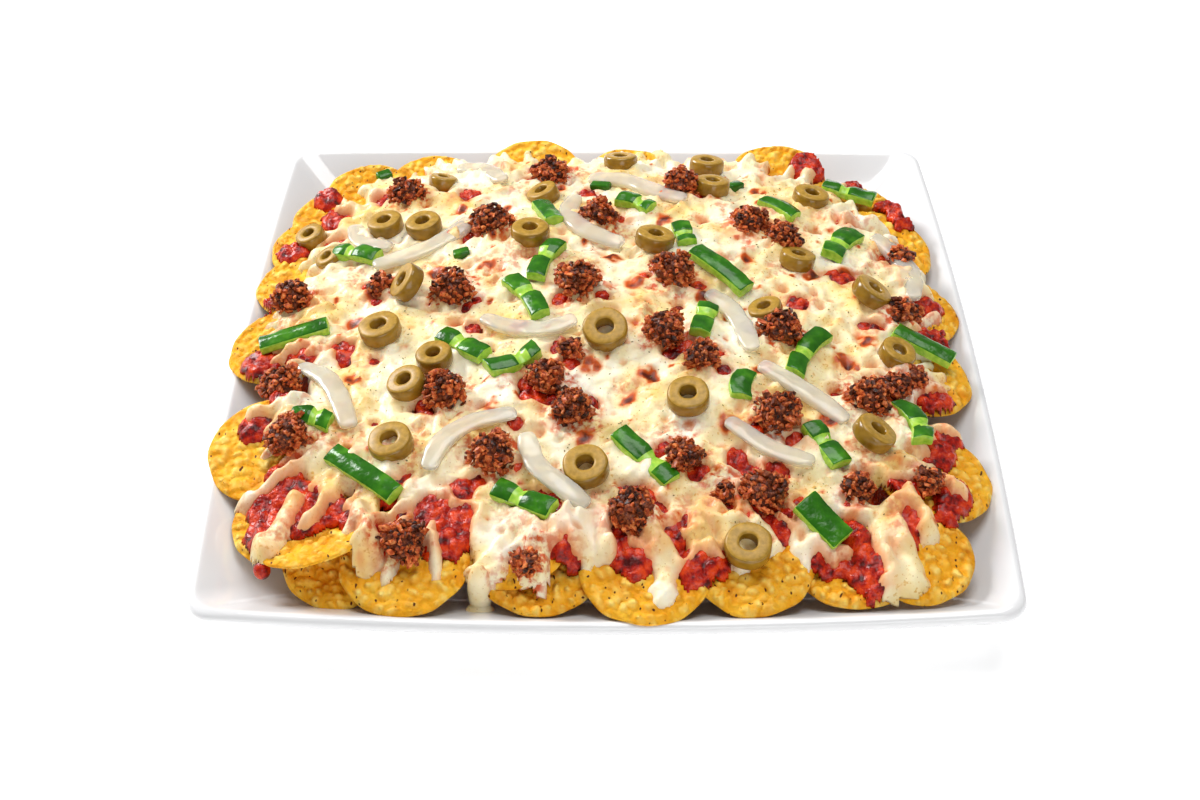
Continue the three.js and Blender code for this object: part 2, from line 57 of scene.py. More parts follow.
# %% [markdown]
# ## The camera
# The picture was taken from the front, looking down by about 41 degrees. A camera fitted to the
# platter's straight rims gives its place and its lens. It comes first, because every later choice of
# detail depends on how large a millimetre is in the picture: here about two and a half pixels.

# %% Place the camera
CAMERA_MM = (-2.3, -559.9, 482.4)
CAMERA_PITCH = 40.96
LENS = 52.75
SENSOR_WIDTH = 36

camera = bpy.data.objects.new("camera", bpy.data.cameras.new("camera"))
bpy.context.scene.collection.objects.link(camera)
camera.location = Vector(CAMERA_MM) * MM
camera.rotation_euler = (math.radians(90 - CAMERA_PITCH), 0, 0)
camera.data.lens = LENS
camera.data.sensor_width = SENSOR_WIDTH
bpy.context.scene.camera = camera
print("camera height in metres:", round(camera.location.z, 3))

# %% [markdown]
# ## Small tools
# Soft, uneven shapes come from two kinds of noise. Lattice noise is random heights joined by smooth
# steps, for swells. Domes are round bumps on a jittered lattice, for blisters, chunks and lumps.
# Both are seeded, so each run gives the same food.

# %% Noise
def lattice_noise(x, y, spacing, seed):
    """Smooth noise from -1 to 1 with hills about one spacing apart."""
    table = np.random.default_rng(seed).uniform(-1, 1, (256, 256))
    u, v = np.asarray(x) / spacing + 100.5, np.asarray(y) / spacing + 100.5
    i, j = np.floor(u).astype(int), np.floor(v).astype(int)
    f, g = u - i, v - j
    f = f * f * f * (f * (6 * f - 15) + 10)
    g = g * g * g * (g * (6 * g - 15) + 10)
    i, j, k, m = i % 256, j % 256, (i + 1) % 256, (j + 1) % 256
    low = table[i, j] * (1 - f) + table[k, j] * f
    high = table[i, m] * (1 - f) + table[k, m] * f
    return low * (1 - g) + high * g


def domes(x, y, spacing, seed, least=0.35, most=0.75):
    """Round bumps from 0 to 1, one in each cell, with radii between two shares of the spacing."""
    rng = np.random.default_rng(seed)
    jitter = rng.uniform(0.15, 0.85, (256, 256, 2))
    radius = rng.uniform(least, most, (256, 256))
    u, v = np.asarray(x) / spacing + 100.5, np.asarray(y) / spacing + 100.5
    i, j = np.floor(u).astype(int), np.floor(v).astype(int)
    best = np.zeros(np.shape(u))
    for di in (-1, 0, 1):
        for dj in (-1, 0, 1):
            a, b = (i + di) % 256, (j + dj) % 256
            du = u - (i + di + jitter[a, b, 0])
            dv = v - (j + dj + jitter[a, b, 1])
            lift = 1 - (du * du + dv * dv) / radius[a, b] ** 2
            best = np.maximum(best, lift * radius[a, b] / most)
    return best


print("noise at one point:", round(float(lattice_noise(0, 0, 10, 1)), 3))

# %% [markdown]
# Many surfaces here are height fields: a sheet of small squares whose heights come from an array with
# one number for each millimetre. A field can be blurred, which is how melted cheese rounds off the
# steps under it, and it can be read between its points.

# %% Fields
CELL = 1.0
HALF_SPAN = 165
AXIS = np.arange(-HALF_SPAN, HALF_SPAN + CELL, CELL)
X, Y = np.meshgrid(AXIS, AXIS)


def blur(field, sigma):
    """The field, smoothed by a bell curve with that sigma in millimetres."""
    rows = np.fft.fftfreq(field.shape[0], CELL)[:, None]
    columns = np.fft.rfftfreq(field.shape[1], CELL)[None, :]
    bell = np.exp(-2 * (math.pi * sigma) ** 2 * (rows**2 + columns**2))
    return np.fft.irfft2(np.fft.rfft2(field) * bell, field.shape)


def read(field, x, y):
    """The field's value between its points."""
    u = np.clip((np.asarray(x) + HALF_SPAN) / CELL, 0, len(AXIS) - 1.001)
    v = np.clip((np.asarray(y) + HALF_SPAN) / CELL, 0, len(AXIS) - 1.001)
    i, j = u.astype(int), v.astype(int)
    f, g = u - i, v - j
    low = field[j, i] * (1 - f) + field[j, i + 1] * f
    high = field[j + 1, i] * (1 - f) + field[j + 1, i + 1] * f
    return low * (1 - g) + high * g


def smooth_step(value, low, high):
    share = np.clip((value - low) / (high - low), 0, 1)
    return share * share * (3 - 2 * share)


print("points in a field:", X.size)

# %% [markdown]
# A finished mesh goes to metres, gets its materials and is told what it rides on and replaces. Numbers
# that a material reads, such as how browned a spot is, are stored on the mesh's points. A shape that
# occurs hundreds of times is made once by operators, and copies of it are joined into one mesh.

# %% Finish a piece
def finish_piece(name, bm, materials, nodes, smooth=True):
    """Turns a bmesh in millimetres into a piece that rides with the object."""
    bmesh.ops.scale(bm, vec=(MM, MM, MM), verts=bm.verts)
    mesh = bpy.data.meshes.new(name)
    bm.to_mesh(mesh)
    bm.free()
    for material in materials:
        mesh.materials.append(material)
    mesh.polygons.foreach_set("use_smooth", np.full(len(mesh.polygons), smooth))
    piece = bpy.data.objects.new(name, mesh)
    bpy.context.scene.collection.objects.link(piece)
    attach(piece, "root")
    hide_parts(*nodes)
    return piece


def points_mm(mesh):
    """A mesh's points as an array in millimetres."""
    flat = np.empty(3 * len(mesh.vertices))
    mesh.vertices.foreach_get("co", flat)
    return flat.reshape(-1, 3) / MM


def paint(piece, name, values):
    """Stores one number for each point, for the material to read."""
    attribute = piece.data.attributes.new(name, "FLOAT", "POINT")
    attribute.data.foreach_set("value", np.asarray(values, dtype=np.float32))


def joined_copies(templates, placements, value_name=None, values=None):
    """Copies of operator-made meshes, each moved by its own matrix, as one bmesh."""
    all_points, all_faces, tones, start = [], [], [], 0
    for index, (which, matrix) in enumerate(placements):
        points, faces = templates[which]
        m = np.array(matrix)
        all_points.append(points @ m[:3, :3].T + m[:3, 3])
        all_faces.append(faces + start)
        start += len(points)
        if values is not None:
            tones.append(np.full(len(points), values[index]))
    mesh = bpy.data.meshes.new("copies")
    faces = [face for block in all_faces for face in block.tolist()]
    mesh.from_pydata(np.concatenate(all_points).tolist(), [], faces)
    if values is not None:
        mesh.attributes.new(value_name, "FLOAT", "POINT")
        mesh.attributes[value_name].data.foreach_set("value", np.concatenate(tones).astype(np.float32))
    bm = bmesh.new()
    bm.from_mesh(mesh)
    bpy.data.meshes.remove(mesh)
    return bm


def template(bm):
    """An operator-made bmesh as arrays of points and faces of equal size, ready to copy."""
    bm.verts.index_update()
    points = np.array([v.co[:] for v in bm.verts])
    faces = np.array([[v.index for v in f.verts] for f in bm.faces])
    bm.free()
    return points, faces


print("millimetres in a metre:", round(1 / MM))

# %% [markdown]
# ## Materials
# Colours are the sRGB values that a colour picker shows, and one function turns them to linear. One
# helper adds a shader node with its settings and links, and gives one of its outputs for the next
# node to use. A pattern's scale is worked out from a size in millimetres.

# %% Material helpers
def linear(hex_colour):
    channels = [int(hex_colour[i : i + 2], 16) / 255 for i in (0, 2, 4)]
    return tuple(c / 12.92 if c < 0.04045 else ((c + 0.055) / 1.055) ** 2.4 for c in channels) + (1,)


def settle(node, settings=None, links=None):
    """Sets a node's sockets by name or number, its other settings, a ramp's stops, and its links."""
    for name, value in (settings or {}).items():
        if name == "stops":
            elements = node.color_ramp.elements
            while len(elements) < len(value):
                elements.new(0.5)
            for element, (position, colour) in zip(elements, value):
                element.position = position
                element.color = linear(colour)
        elif isinstance(name, int) or name in node.inputs.keys():
            node.inputs[name].default_value = value
        else:
            setattr(node, name, value)
    for name, source in (links or {}).items():
        node.id_data.links.new(source, node.inputs[name])


def add(tree, kind, settings=None, links=None, output=0):
    """Adds a shader node with its settings and links, and gives one of its outputs."""
    node = tree.nodes.new("ShaderNode" + kind)
    settle(node, settings, links)
    return node.outputs[output]


def new_material(name):
    """A material with its tree, its principled shader and the piece's own coordinates."""
    material = bpy.data.materials.new(name)
    material.use_nodes = True
    tree = material.node_tree
    return material, tree, tree.nodes["Principled BSDF"], add(tree, "TexCoord", output="Object")


def let_light_in(shader, weight, *reach):
    """Lets red, green and blue light travel that many millimetres below the surface."""
    radius = [part * MM for part in reach]
    settle(shader, {"Subsurface Weight": weight, "Subsurface Radius": radius, "Subsurface Scale": 1})


def per_mm(size):
    """A texture's scale for a pattern whose marks are this many millimetres apart."""
    return 1 / (size * MM)


# %% [markdown]
# ### Glazed porcelain
# The platter is cast porcelain with a clear glaze. The glaze flows before it sets, so the surface is
# mirror-smooth over a faint, long waviness, and its white is a little cool.

# %% Porcelain
porcelain, tree, shader, place = new_material("porcelain_clear_glaze")
ripple = add(tree, "TexNoise", {"Scale": per_mm(45), "Detail": 1}, {"Vector": place})
waviness = add(tree, "Bump", {"Strength": 0.05, "Distance": 0.5 * MM}, {"Height": ripple})
settle(
    shader,
    {
        "Base Color": linear("E6E6E7"), "Roughness": 0.12, "IOR": 1.52,
        "Coat Weight": 0.4, "Coat Roughness": 0.05,
    },
    {"Normal": waviness},
)
print("material:", porcelain.name)

# %% [markdown]
# ### Corn chip
# A tortilla chip is pressed corn dough, baked and fried. Steam lifts blisters, which stay pale yellow,
# and the dough between them browns a little; the colour also darkens the creases between the pillows
# as painted shade. Scorched pin-point specks and short, wandering cracks come from a cell pattern that
# is drawn out and shifted by a noise.

# %% Corn chip
corn, tree, shader, place = new_material("corn_chip_fried")
blotch = add(tree, "TexNoise", {"Scale": per_mm(9), "Detail": 3}, {"Vector": place})
grain = add(tree, "TexNoise", {"Scale": per_mm(0.9), "Detail": 3}, {"Vector": place})
wander = add(tree, "TexNoise", {"Scale": per_mm(5), "Detail": 1}, {"Vector": place}, "Color")
drawn_out = add(tree, "VectorMath", {"operation": "MULTIPLY", 1: (1, 0.5, 1)}, {0: place})
shift = {"operation": "MULTIPLY_ADD", 1: (3 * MM, 3 * MM, 0)}
crack_place = add(tree, "VectorMath", shift, {0: wander, 2: drawn_out})
cracks = add(tree, "TexVoronoi", {"Scale": per_mm(2.9)}, {"Vector": crack_place})
pillow = add(tree, "TexVoronoi", {"Scale": per_mm(3), "feature": "SMOOTH_F1"}, {"Vector": place})
puff = add(tree, "MapRange", {"From Min": 0.62, "From Max": 0.2}, {"Value": pillow})
blister = add(tree, "Attribute", {"attribute_name": "blister"}, output="Fac")
raised = add(tree, "Math", {"operation": "MULTIPLY"}, {0: blister, 1: puff})
# Pale on raised blisters, darker between them: the dough's own browning plus painted shade in the creases.
browned_dough_and_crease_shade = {"stops": [(0.3, "DA8A10"), (0.5, "F0AA20"), (0.7, "FAC038")]}
dough = add(tree, "ValToRGB", browned_dough_and_crease_shade, {"Fac": blotch})
puffed = add(tree, "ValToRGB", {"stops": [(0.3, "FFD65E"), (0.7, "FFE88C")]}, {"Fac": blotch})
blister_tone_and_crease_shade = add(tree, "Mix", {"data_type": "RGBA"}, {0: raised, 6: dough, 7: puffed}, 2)
pin = add(tree, "ValToRGB", {"stops": [(0.11, "FFFFFF"), (0.17, "000000")]}, {"Fac": cracks})
speckled = add(tree, "Mix", {"data_type": "RGBA", 7: linear("5C3010")}, {0: pin, 6: blister_tone_and_crease_shade}, 2)
relief = add(tree, "Math", {"operation": "MULTIPLY_ADD", 1: 0.3}, {0: grain, 2: puff})
bump = add(tree, "Bump", {"Strength": 0.9, "Distance": 1.1 * MM}, {"Height": relief})
dry = {"Roughness": 0.5, "Specular IOR Level": 0.12}
settle(shader, dry, {"Base Color": speckled, "Normal": bump})
let_light_in(shader, 0.15, 1.5, 0.8, 0.3)
print("material:", corn.name)

# %% [markdown]
# ### Salsa
# Cooked tomato salsa is crushed pulp in its own juice. The juice makes it wet and mirror-bright, and
# light enters the pulp a little way, so the thick lumps glow red while the hollows stay dark. The
# colour ramp follows a noise: its middle is the pulp's own uneven red, its dark end painted shade and
# its bright end a painted highlight.

# %% Salsa
tomato, tree, shader, place = new_material("tomato_salsa_wet")
pulp = add(tree, "TexNoise", {"Scale": per_mm(4), "Detail": 4}, {"Vector": place})
fibre = add(tree, "TexNoise", {"Scale": per_mm(1.1), "Detail": 3}, {"Vector": place})
# Dark end of the ramp is painted shade, bright end a painted highlight, middle the pulp's own red.
reds_with_painted_light = {"stops": [(0.34, "520301"), (0.48, "AC1604"), (0.64, "DE420E")]}
red_with_painted_light = add(tree, "ValToRGB", reds_with_painted_light, {"Fac": pulp})
bump = add(tree, "Bump", {"Strength": 0.8, "Distance": 0.9 * MM}, {"Height": fibre})
wet = {"Roughness": 0.26, "Specular IOR Level": 0.2, "Coat Weight": 0.25, "Coat Roughness": 0.04}
settle(shader, wet, {"Base Color": red_with_painted_light, "Normal": bump})
let_light_in(shader, 0.15, 1.2, 0.3, 0.1)
print("material:", tomato.name)

# %% [markdown]
# ### Melted cheese
# Shredded white cheese has melted in the oven and set again. Fat and milk protein scatter light below
# the skin, so shadows in it are soft and creamy. It browns only at its high spots, it is stained orange
# by the fat of the beef, and where it is thin the salsa shows through as pink.

# %% Melted cheese
melted, tree, shader, place = new_material("cheese_melted_oven")
swirl = add(tree, "TexNoise", {"Scale": per_mm(22), "Detail": 3}, {"Vector": place})
mottle = add(tree, "TexNoise", {"Scale": per_mm(2.6), "Detail": 3}, {"Vector": place})
skin = add(tree, "TexNoise", {"Scale": per_mm(1.6), "Detail": 3}, {"Vector": place})
freckle = add(tree, "TexNoise", {"Scale": per_mm(1.5), "Detail": 2}, {"Vector": place})
crumbs = add(tree, "TexVoronoi", {"Scale": per_mm(2.4)}, {"Vector": place})
browned = add(tree, "Attribute", {"attribute_name": "browned"}, output="Fac")
stained = add(tree, "Attribute", {"attribute_name": "stained"}, output="Fac")
thin = add(tree, "Attribute", {"attribute_name": "thin"}, output="Fac")
creams = {"stops": [(0.32, "FFF6E0"), (0.5, "FBE8B8"), (0.66, "F3CE7E")]}
cream = add(tree, "ValToRGB", creams, {"Fac": swirl})
fine_spots = add(tree, "MapRange", {"From Min": 0.6, "From Max": 0.7}, {"Value": freckle})
in_groups = add(tree, "MapRange", {"From Min": 0.4, "From Max": 0.6}, {"Value": swirl})
freckles = add(tree, "Math", {"operation": "MULTIPLY"}, {0: fine_spots, 1: in_groups})
colour = add(tree, "Mix", {"data_type": "RGBA", 7: linear("D9A548")}, {0: freckles, 6: cream}, 2)
specks = add(tree, "ValToRGB", {"stops": [(0.08, "B0B0B0"), (0.14, "000000")]}, {"Fac": crumbs})
colour = add(tree, "Mix", {"data_type": "RGBA", 7: linear("B07C30")}, {0: specks, 6: colour}, 2)
colour = add(tree, "Mix", {"data_type": "RGBA", 7: linear("EEA673")}, {0: thin, 6: colour}, 2)
drops = add(tree, "MapRange", {"From Min": 0.42, "From Max": 0.6}, {"Value": mottle})
oily = add(tree, "Math", {"operation": "MULTIPLY"}, {0: stained, 1: drops})
colour = add(tree, "Mix", {"data_type": "RGBA", 7: linear("CE5420")}, {0: oily, 6: colour}, 2)
toasted = add(tree, "MapRange", {"From Min": 0.08, "From Max": 0.45}, {"Value": browned})
browns = {"stops": [(0.15, "EA9644"), (0.5, "C85416"), (0.85, "5E1E08")]}
scorch = add(tree, "ValToRGB", browns, {"Fac": browned})
colour = add(tree, "Mix", {"data_type": "RGBA"}, {0: toasted, 6: colour, 7: scorch}, 2)
bump = add(tree, "Bump", {"Strength": 0.6, "Distance": 0.5 * MM}, {"Height": skin})
set_again = {"Roughness": 0.36, "Specular IOR Level": 0.25, "Coat Weight": 0.12, "Coat Roughness": 0.12}
settle(shader, set_again, {"Base Color": colour, "Normal": bump})
let_light_in(shader, 0.25, 2, 1.4, 0.7)
print("material:", melted.name)

# %% [markdown]
# ### Ground beef
# Fried mince sets into rough granules. Their tops are dry and dark brown, their sides redder, and
# melted fat leaves small bright glints.

# %% Ground beef
mince, tree, shader, place = new_material("ground_beef_fried")
crumb = add(tree, "TexNoise", {"Scale": per_mm(1.3), "Detail": 4}, {"Vector": place})
tone = add(tree, "Attribute", {"attribute_name": "tone"}, output="Fac")
burnt_browns = {"stops": [(0.35, "160804"), (0.5, "42190B"), (0.66, "7A381A")]}
ruddy_browns = {"stops": [(0.35, "8E3312"), (0.5, "CC5824"), (0.66, "F09452")]}
dark = add(tree, "ValToRGB", burnt_browns, {"Fac": crumb})
ruddy = add(tree, "ValToRGB", ruddy_browns, {"Fac": crumb})
fried = add(tree, "Mix", {"data_type": "RGBA"}, {0: tone, 6: dark, 7: ruddy}, 2)
bump = add(tree, "Bump", {"Strength": 0.9, "Distance": 0.6 * MM}, {"Height": crumb})
fatty = {"Roughness": 0.42, "Specular IOR Level": 0.2, "Coat Weight": 0.1, "Coat Roughness": 0.15}
settle(shader, fatty, {"Base Color": fried, "Normal": bump})
print("material:", mince.name)

# %% [markdown]
# ### Green olive, cut and skin
# A brined olive is tan-green all through. Its cut face is dull and finely grained, while its skin is
# smooth, oily and a little browner. The skin material also lines the hole, where its darker colour is
# partly painted shade.

# %% Olive
olive_cut, tree, shader, place = new_material("olive_brined_cut")
flesh = add(tree, "TexNoise", {"Scale": per_mm(1.8), "Detail": 3}, {"Vector": place})
tan = add(tree, "ValToRGB", {"stops": [(0.3, "9A7622"), (0.7, "BC9238")]}, {"Fac": flesh})
bump = add(tree, "Bump", {"Strength": 0.3, "Distance": 0.2 * MM}, {"Height": flesh})
dull = {"Roughness": 0.42, "Specular IOR Level": 0.3, "Coat Weight": 0.1, "Coat Roughness": 0.2}
settle(shader, dull, {"Base Color": tan, "Normal": bump})
let_light_in(shader, 0.15, 1.5, 1, 0.3)

olive_skin_and_hole_shade, tree, shader, place = new_material("olive_brined_skin_and_hole_shade")
blush = add(tree, "TexNoise", {"Scale": per_mm(5), "Detail": 2}, {"Vector": place})
brine = add(tree, "ValToRGB", {"stops": [(0.3, "7E5C10"), (0.7, "A07A26")]}, {"Fac": blush})
oiled = {"Roughness": 0.22, "Specular IOR Level": 0.35, "Coat Weight": 0.3, "Coat Roughness": 0.08}
settle(shader, oiled, {"Base Color": brine})
print("materials:", olive_cut.name, olive_skin_and_hole_shade.name)

# %% [markdown]
# ### Green pepper, skin and flesh
# A pepper's skin is waxy, so it is dark, saturated and glossy, with shallow dimples. Where the knife or
# the wall's inside shows, the flesh is wet, pale yellow-green and lets light through.

# %% Pepper
pepper_skin, tree, shader, place = new_material("pepper_waxy_skin")
patch = add(tree, "TexNoise", {"Scale": per_mm(7), "Detail": 2}, {"Vector": place})
greens = {"stops": [(0.3, "1C5406"), (0.55, "2C6C08"), (0.75, "4C8C16")]}
wax = add(tree, "ValToRGB", greens, {"Fac": patch})
dimples = add(tree, "TexNoise", {"Scale": per_mm(3.5), "Detail": 2}, {"Vector": place})
bump = add(tree, "Bump", {"Strength": 0.5, "Distance": 0.8 * MM}, {"Height": dimples})
waxy = {"Roughness": 0.22, "Specular IOR Level": 0.25, "Coat Weight": 0.15, "Coat Roughness": 0.04}
settle(shader, waxy, {"Base Color": wax, "Normal": bump})
let_light_in(shader, 0.15, 0.6, 2, 0.3)

pepper_flesh, tree, shader, place = new_material("pepper_wet_flesh")
vein = add(tree, "TexNoise", {"Scale": per_mm(2.2), "Detail": 3}, {"Vector": place})
pale = add(tree, "ValToRGB", {"stops": [(0.3, "7FB82C"), (0.7, "B4D850")]}, {"Fac": vein})
settle(shader, {"Roughness": 0.25}, {"Base Color": pale})
let_light_in(shader, 0.3, 1.2, 2.5, 0.5)
print("materials:", pepper_skin.name, pepper_flesh.name)

# %% [markdown]
# ### Onion
# Softened onion is mostly water in thin walls. It looks milky because light bounces between the
# layers, and its wet skin gives long, thin highlights.

# %% Onion
onion_wet, tree, shader, place = new_material("onion_softened_wet")
layer = add(tree, "TexNoise", {"Scale": per_mm(6), "Detail": 2}, {"Vector": place})
milky = add(tree, "ValToRGB", {"stops": [(0.3, "F4EEDC"), (0.7, "FBF8EC")]}, {"Fac": layer})
watery = {
    "Roughness": 0.2, "Transmission Weight": 0.6, "IOR": 1.36, "Coat Weight": 0.4, "Coat Roughness": 0.08,
}
settle(shader, watery, {"Base Color": milky})
let_light_in(shader, 0.5, 3, 3, 2.5)
print("material:", onion_wet.name)

# %% [markdown]
# ### Dried herb
# Crushed oregano leaf is matt and grey-green. The flecks are about a millimetre long or less, so dark
# tones with a little unevenness are enough.

# %% Herb
dried_herb, tree, shader, place = new_material("oregano_dried")
leaf = add(tree, "TexNoise", {"Scale": per_mm(1), "Detail": 1}, {"Vector": place})
dust = add(tree, "ValToRGB", {"stops": [(0.3, "5A4E1E"), (0.7, "8E7C3A")]}, {"Fac": leaf})
settle(shader, {"Roughness": 0.8}, {"Base Color": dust})
print("material:", dried_herb.name)

# %% [markdown]
# ## The shape of the heap
# The heap is a low dome on a squarish plan, with slow swells about a millimetre high. Its sizes are the
# same as in the solid model, so each piece made here lies on it.

# %% Heap
RIM_Z = 24
FLOOR_Z = 9.5
HEAP_HALF = 142
HEAP_SQUARENESS = 3.2
HEAP_RISE = 27
HEAP_FULLNESS = 0.8


def squarish_reach(x, y):
    """How far out a point is on the heap's squarish plan."""
    n = HEAP_SQUARENESS
    return (np.abs(x) ** n + np.abs(y) ** n) ** (1 / n)


def heap_top(x, y):
    dome = np.maximum(0, 1 - (squarish_reach(x, y) / HEAP_HALF) ** 2) ** HEAP_FULLNESS
    swell = 1.1 * np.sin(x / 13 + 1) * np.cos(y / 15) + 0.8 * np.sin((x + y) / 20 + 2)
    return RIM_Z + HEAP_RISE * dome + swell


HEAP_TOP = heap_top(X, Y)
print("the heap's top in mm:", round(float(HEAP_TOP.max()), 1))

# %% [markdown]
# Chips lean on the heap's border, at places chosen against the picture, which the solid model
# shares. What lies on the chips has to know how high they are, so the top of the highest chip is
# worked out for each point.

# %% Chip places
CHIP_THICKNESS = 2
CHIPS = [  # x, y, z, radius, and the way and the degrees that it leans
    (-117, -100, 27, 22, 200, 12), (-105, -112, 31, 23, 125, 22), (-96, -118.5, 24.5, 21, 262, 9),
    (-72, -125, 30, 23, 268, 12), (-34, -114, 33, 24, 215, 16), (-24, -124, 26.6, 22, 275, 4),
    (14, -128.5, 30.8, 23.8, 267, 13), (52, -125, 30.3, 22.6, 272, 13), (88, -121, 26.6, 22, 280, 5),
    (111, -120, 28.8, 21.5, 300, 11), (122.5, -81, 31, 23.8, 350, 14), (123, -22, 31.5, 24.5, 345, 14),
    (126, 20, 30.5, 22.5, 5, 12), (120, 64, 31, 23.5, 345, 12), (112, 92, 29.5, 22, 20, 8),
    (79.5, 119, 28, 22, 268, 15), (48, 117, 25.5, 21, 270, 6), (11, 119, 27, 21.5, 270, 14),
    (-33, 120, 28.5, 23, 270, 16), (-78, 113, 27, 22.5, 275, 10), (-105, 106, 27, 22, 285, 11),
    (-118, 84, 28.5, 22, 250, 9), (-127, 66, 29, 19.5, 180, 6), (-128, 39, 30, 21.5, 180, 12),
    (-131, -4, 31, 23.5, 185, 12), (-128, -68, 32, 24, 235, 15),
]


def leaning(facing, tilt):
    """The direction that points up from a piece which leans some degrees towards one side."""
    f, t = math.radians(facing), math.radians(tilt)
    return Vector((math.sin(t) * math.cos(f), math.sin(t) * math.sin(f), math.cos(t)))


def placing(x, y, z, normal, turn=0):
    """A matrix that stands a piece at a point, with its own up along the normal."""
    upright = Vector((0, 0, 1)).rotation_difference(normal).to_matrix().to_4x4()
    return Matrix.Translation((x, y, z)) @ upright @ Matrix.Rotation(math.radians(turn), 4, "Z")


def chip_tops():
    """The height of the highest chip over each point of the field, and minus infinity where none is."""
    tops = np.full(X.shape, -np.inf)
    for cx, cy, cz, radius, facing, tilt in CHIPS:
        normal = leaning(facing, tilt)
        dx, dy = X - cx, Y - cy
        dz = -(normal.x * dx + normal.y * dy) / normal.z
        inside = dx * dx + dy * dy + dz * dz < radius * radius
        tops = np.where(inside, np.maximum(tops, cz + dz + CHIP_THICKNESS / 2), tops)
    return tops


CHIP_TOP = chip_tops()
print("chips:", len(CHIPS))

# %% [markdown]
# Melted cheese smooths over the heap and the chips. Its rounded-off top is what the toppings stand on,
# and the slope there gives each of them its lean. The cheese's border is wavy, as it is in the picture.

# %% Cover
CHEESE_HALF = 127
CHEESE_LAP = 2.2
COVER = blur(np.maximum(HEAP_TOP, CHIP_TOP + CHEESE_LAP), 2)


def cover_normal(x, y, step=5):
    slope_x = read(COVER, x - step, y) - read(COVER, x + step, y)
    slope_y = read(COVER, x, y - step) - read(COVER, x, y + step)
    return Vector((slope_x, slope_y, 2 * step)).normalized()


def cheese_reach(angle):
    waves = 3 * np.sin(6 * angle + 0.6) + 2.5 * np.sin(11 * angle + 5.3) + 1.5 * np.sin(17 * angle)
    return CHEESE_HALF + waves


print("the cover's top in mm:", round(float(COVER.max()), 1))

# %% [markdown]
# ## The platter
# The real platter is cast in a mould, so its walls are one even, flowing section carried round a square
# with slightly bowed sides. Here the section's key sizes go through a smooth curve, and each point of
# it becomes one ring of the mould: rounded corners, bowed sides, and corners that rise a little.

# %% Platter
PLATTER_HALF = 147.5
PLATTER_BOW = 4.8
CORNER_LIFT = 2
CORNER_RADIUS = 9
CORNER_STEPS = 8
SIDE_STEPS = 16
SECTION = [  # how far in from the outer edge, and the height
    (52, 9.5), (30, 9.5), (24, 10.6), (14, 16.4), (4.4, 23.1), (2.6, 24), (0.7, 23.4), (0, 21.8),
    (0.8, 19.4), (4.5, 18.2), (20, 7.2), (26.6, 0.7), (27.6, 0), (31.4, 0), (32.4, 0.6), (34.5, 3.2),
    (52, 3.2),
]


def smooth_section(points, steps=3, pull=0.35):
    """The section with a smooth curve through its points. The pull says how far it swings at each."""
    padded = [points[0]] + points + [points[-1]]
    curve = []
    for a, b, c, d in zip(padded, padded[1:], padded[2:], padded[3:]):
        a, b, c, d = (np.array(p, float) for p in (a, b, c, d))
        for t in np.arange(steps) / steps:
            start, end = (c - a) * pull, (d - b) * pull
            curve.append(
                (2 * t**3 - 3 * t**2 + 1) * b
                + (t**3 - 2 * t**2 + t) * start
                + (3 * t**2 - 2 * t**3) * c
                + (t**3 - t**2) * end
            )
    return curve + [np.array(points[-1], float)]


def platter_ring(half, z):
    """One ring of the mould, anticlockwise."""
    straight = half - CORNER_RADIUS
    points = []
    for quarter in range(4):
        middle = math.pi / 4 + quarter * math.pi / 2
        cx, cy = (straight * math.copysign(1, f(middle)) for f in (math.cos, math.sin))
        for i in range(CORNER_STEPS + 1):
            angle = (quarter + i / CORNER_STEPS) * math.pi / 2
            x, y = cx + CORNER_RADIUS * math.cos(angle), cy + CORNER_RADIUS * math.sin(angle)
            points.append((x, y))
        x, y = points[-1]
        along = (-math.sin(angle), math.cos(angle))
        for i in range(1, SIDE_STEPS):
            share = 2 * straight * i / SIDE_STEPS
            points.append((x + along[0] * share, y + along[1] * share))
    raised = max(0, (z - FLOOR_Z) / (RIM_Z - FLOOR_Z))
    ring = []
    for x, y in points:
        u, v = x / half, y / half
        bow = PLATTER_BOW / PLATTER_HALF
        bowed = (x * (1 + bow * max(0, 1 - v * v)), y * (1 + bow * max(0, 1 - u * u)))
        ring.append((*bowed, z + CORNER_LIFT * raised * (u * v) ** 2))
    return ring


bm = bmesh.new()
rings = []
for inset, z in smooth_section(SECTION):
    verts = [bm.verts.new(point) for point in platter_ring(PLATTER_HALF - inset, z)]
    rings.append([bm.edges.new((a, b)) for a, b in zip(verts, verts[1:] + verts[:1])])
for ring, following in zip(rings, rings[1:]):
    bmesh.ops.bridge_loops(bm, edges=ring + following)
bmesh.ops.holes_fill(bm, edges=rings[0] + rings[-1], sides=0)
bmesh.ops.recalc_face_normals(bm, faces=bm.faces)
print("platter faces:", len(bm.faces))
finish_piece("platter_glazed", bm, [porcelain], ["platter"])

# %% [markdown]
# ## The chips
# A chip is stamped from thin dough as a disc about 46 mm across. In the fryer steam bubbles push up
# blisters two to five millimetres wide, and the disc warps. Six different chips are modelled: a grid
# is bent to a disc, given blisters and a warp, and drawn down at its rim to about the thickness of a
# real chip.

# %% Chip kinds
CHIP_KINDS = 6
CHIP_CELLS = 56
CHIP_RADIUS = 23
BLISTER_SPACING = 3.9
BLISTER_RISE = 1.4
FINE_SPACING = 2.3
FINE_RISE = 0.35
CHIP_WARP = 0.9
RIM_STEPS = ((0.7, 1.006), (0.6, 0.985))  # how far down, and the share of the width


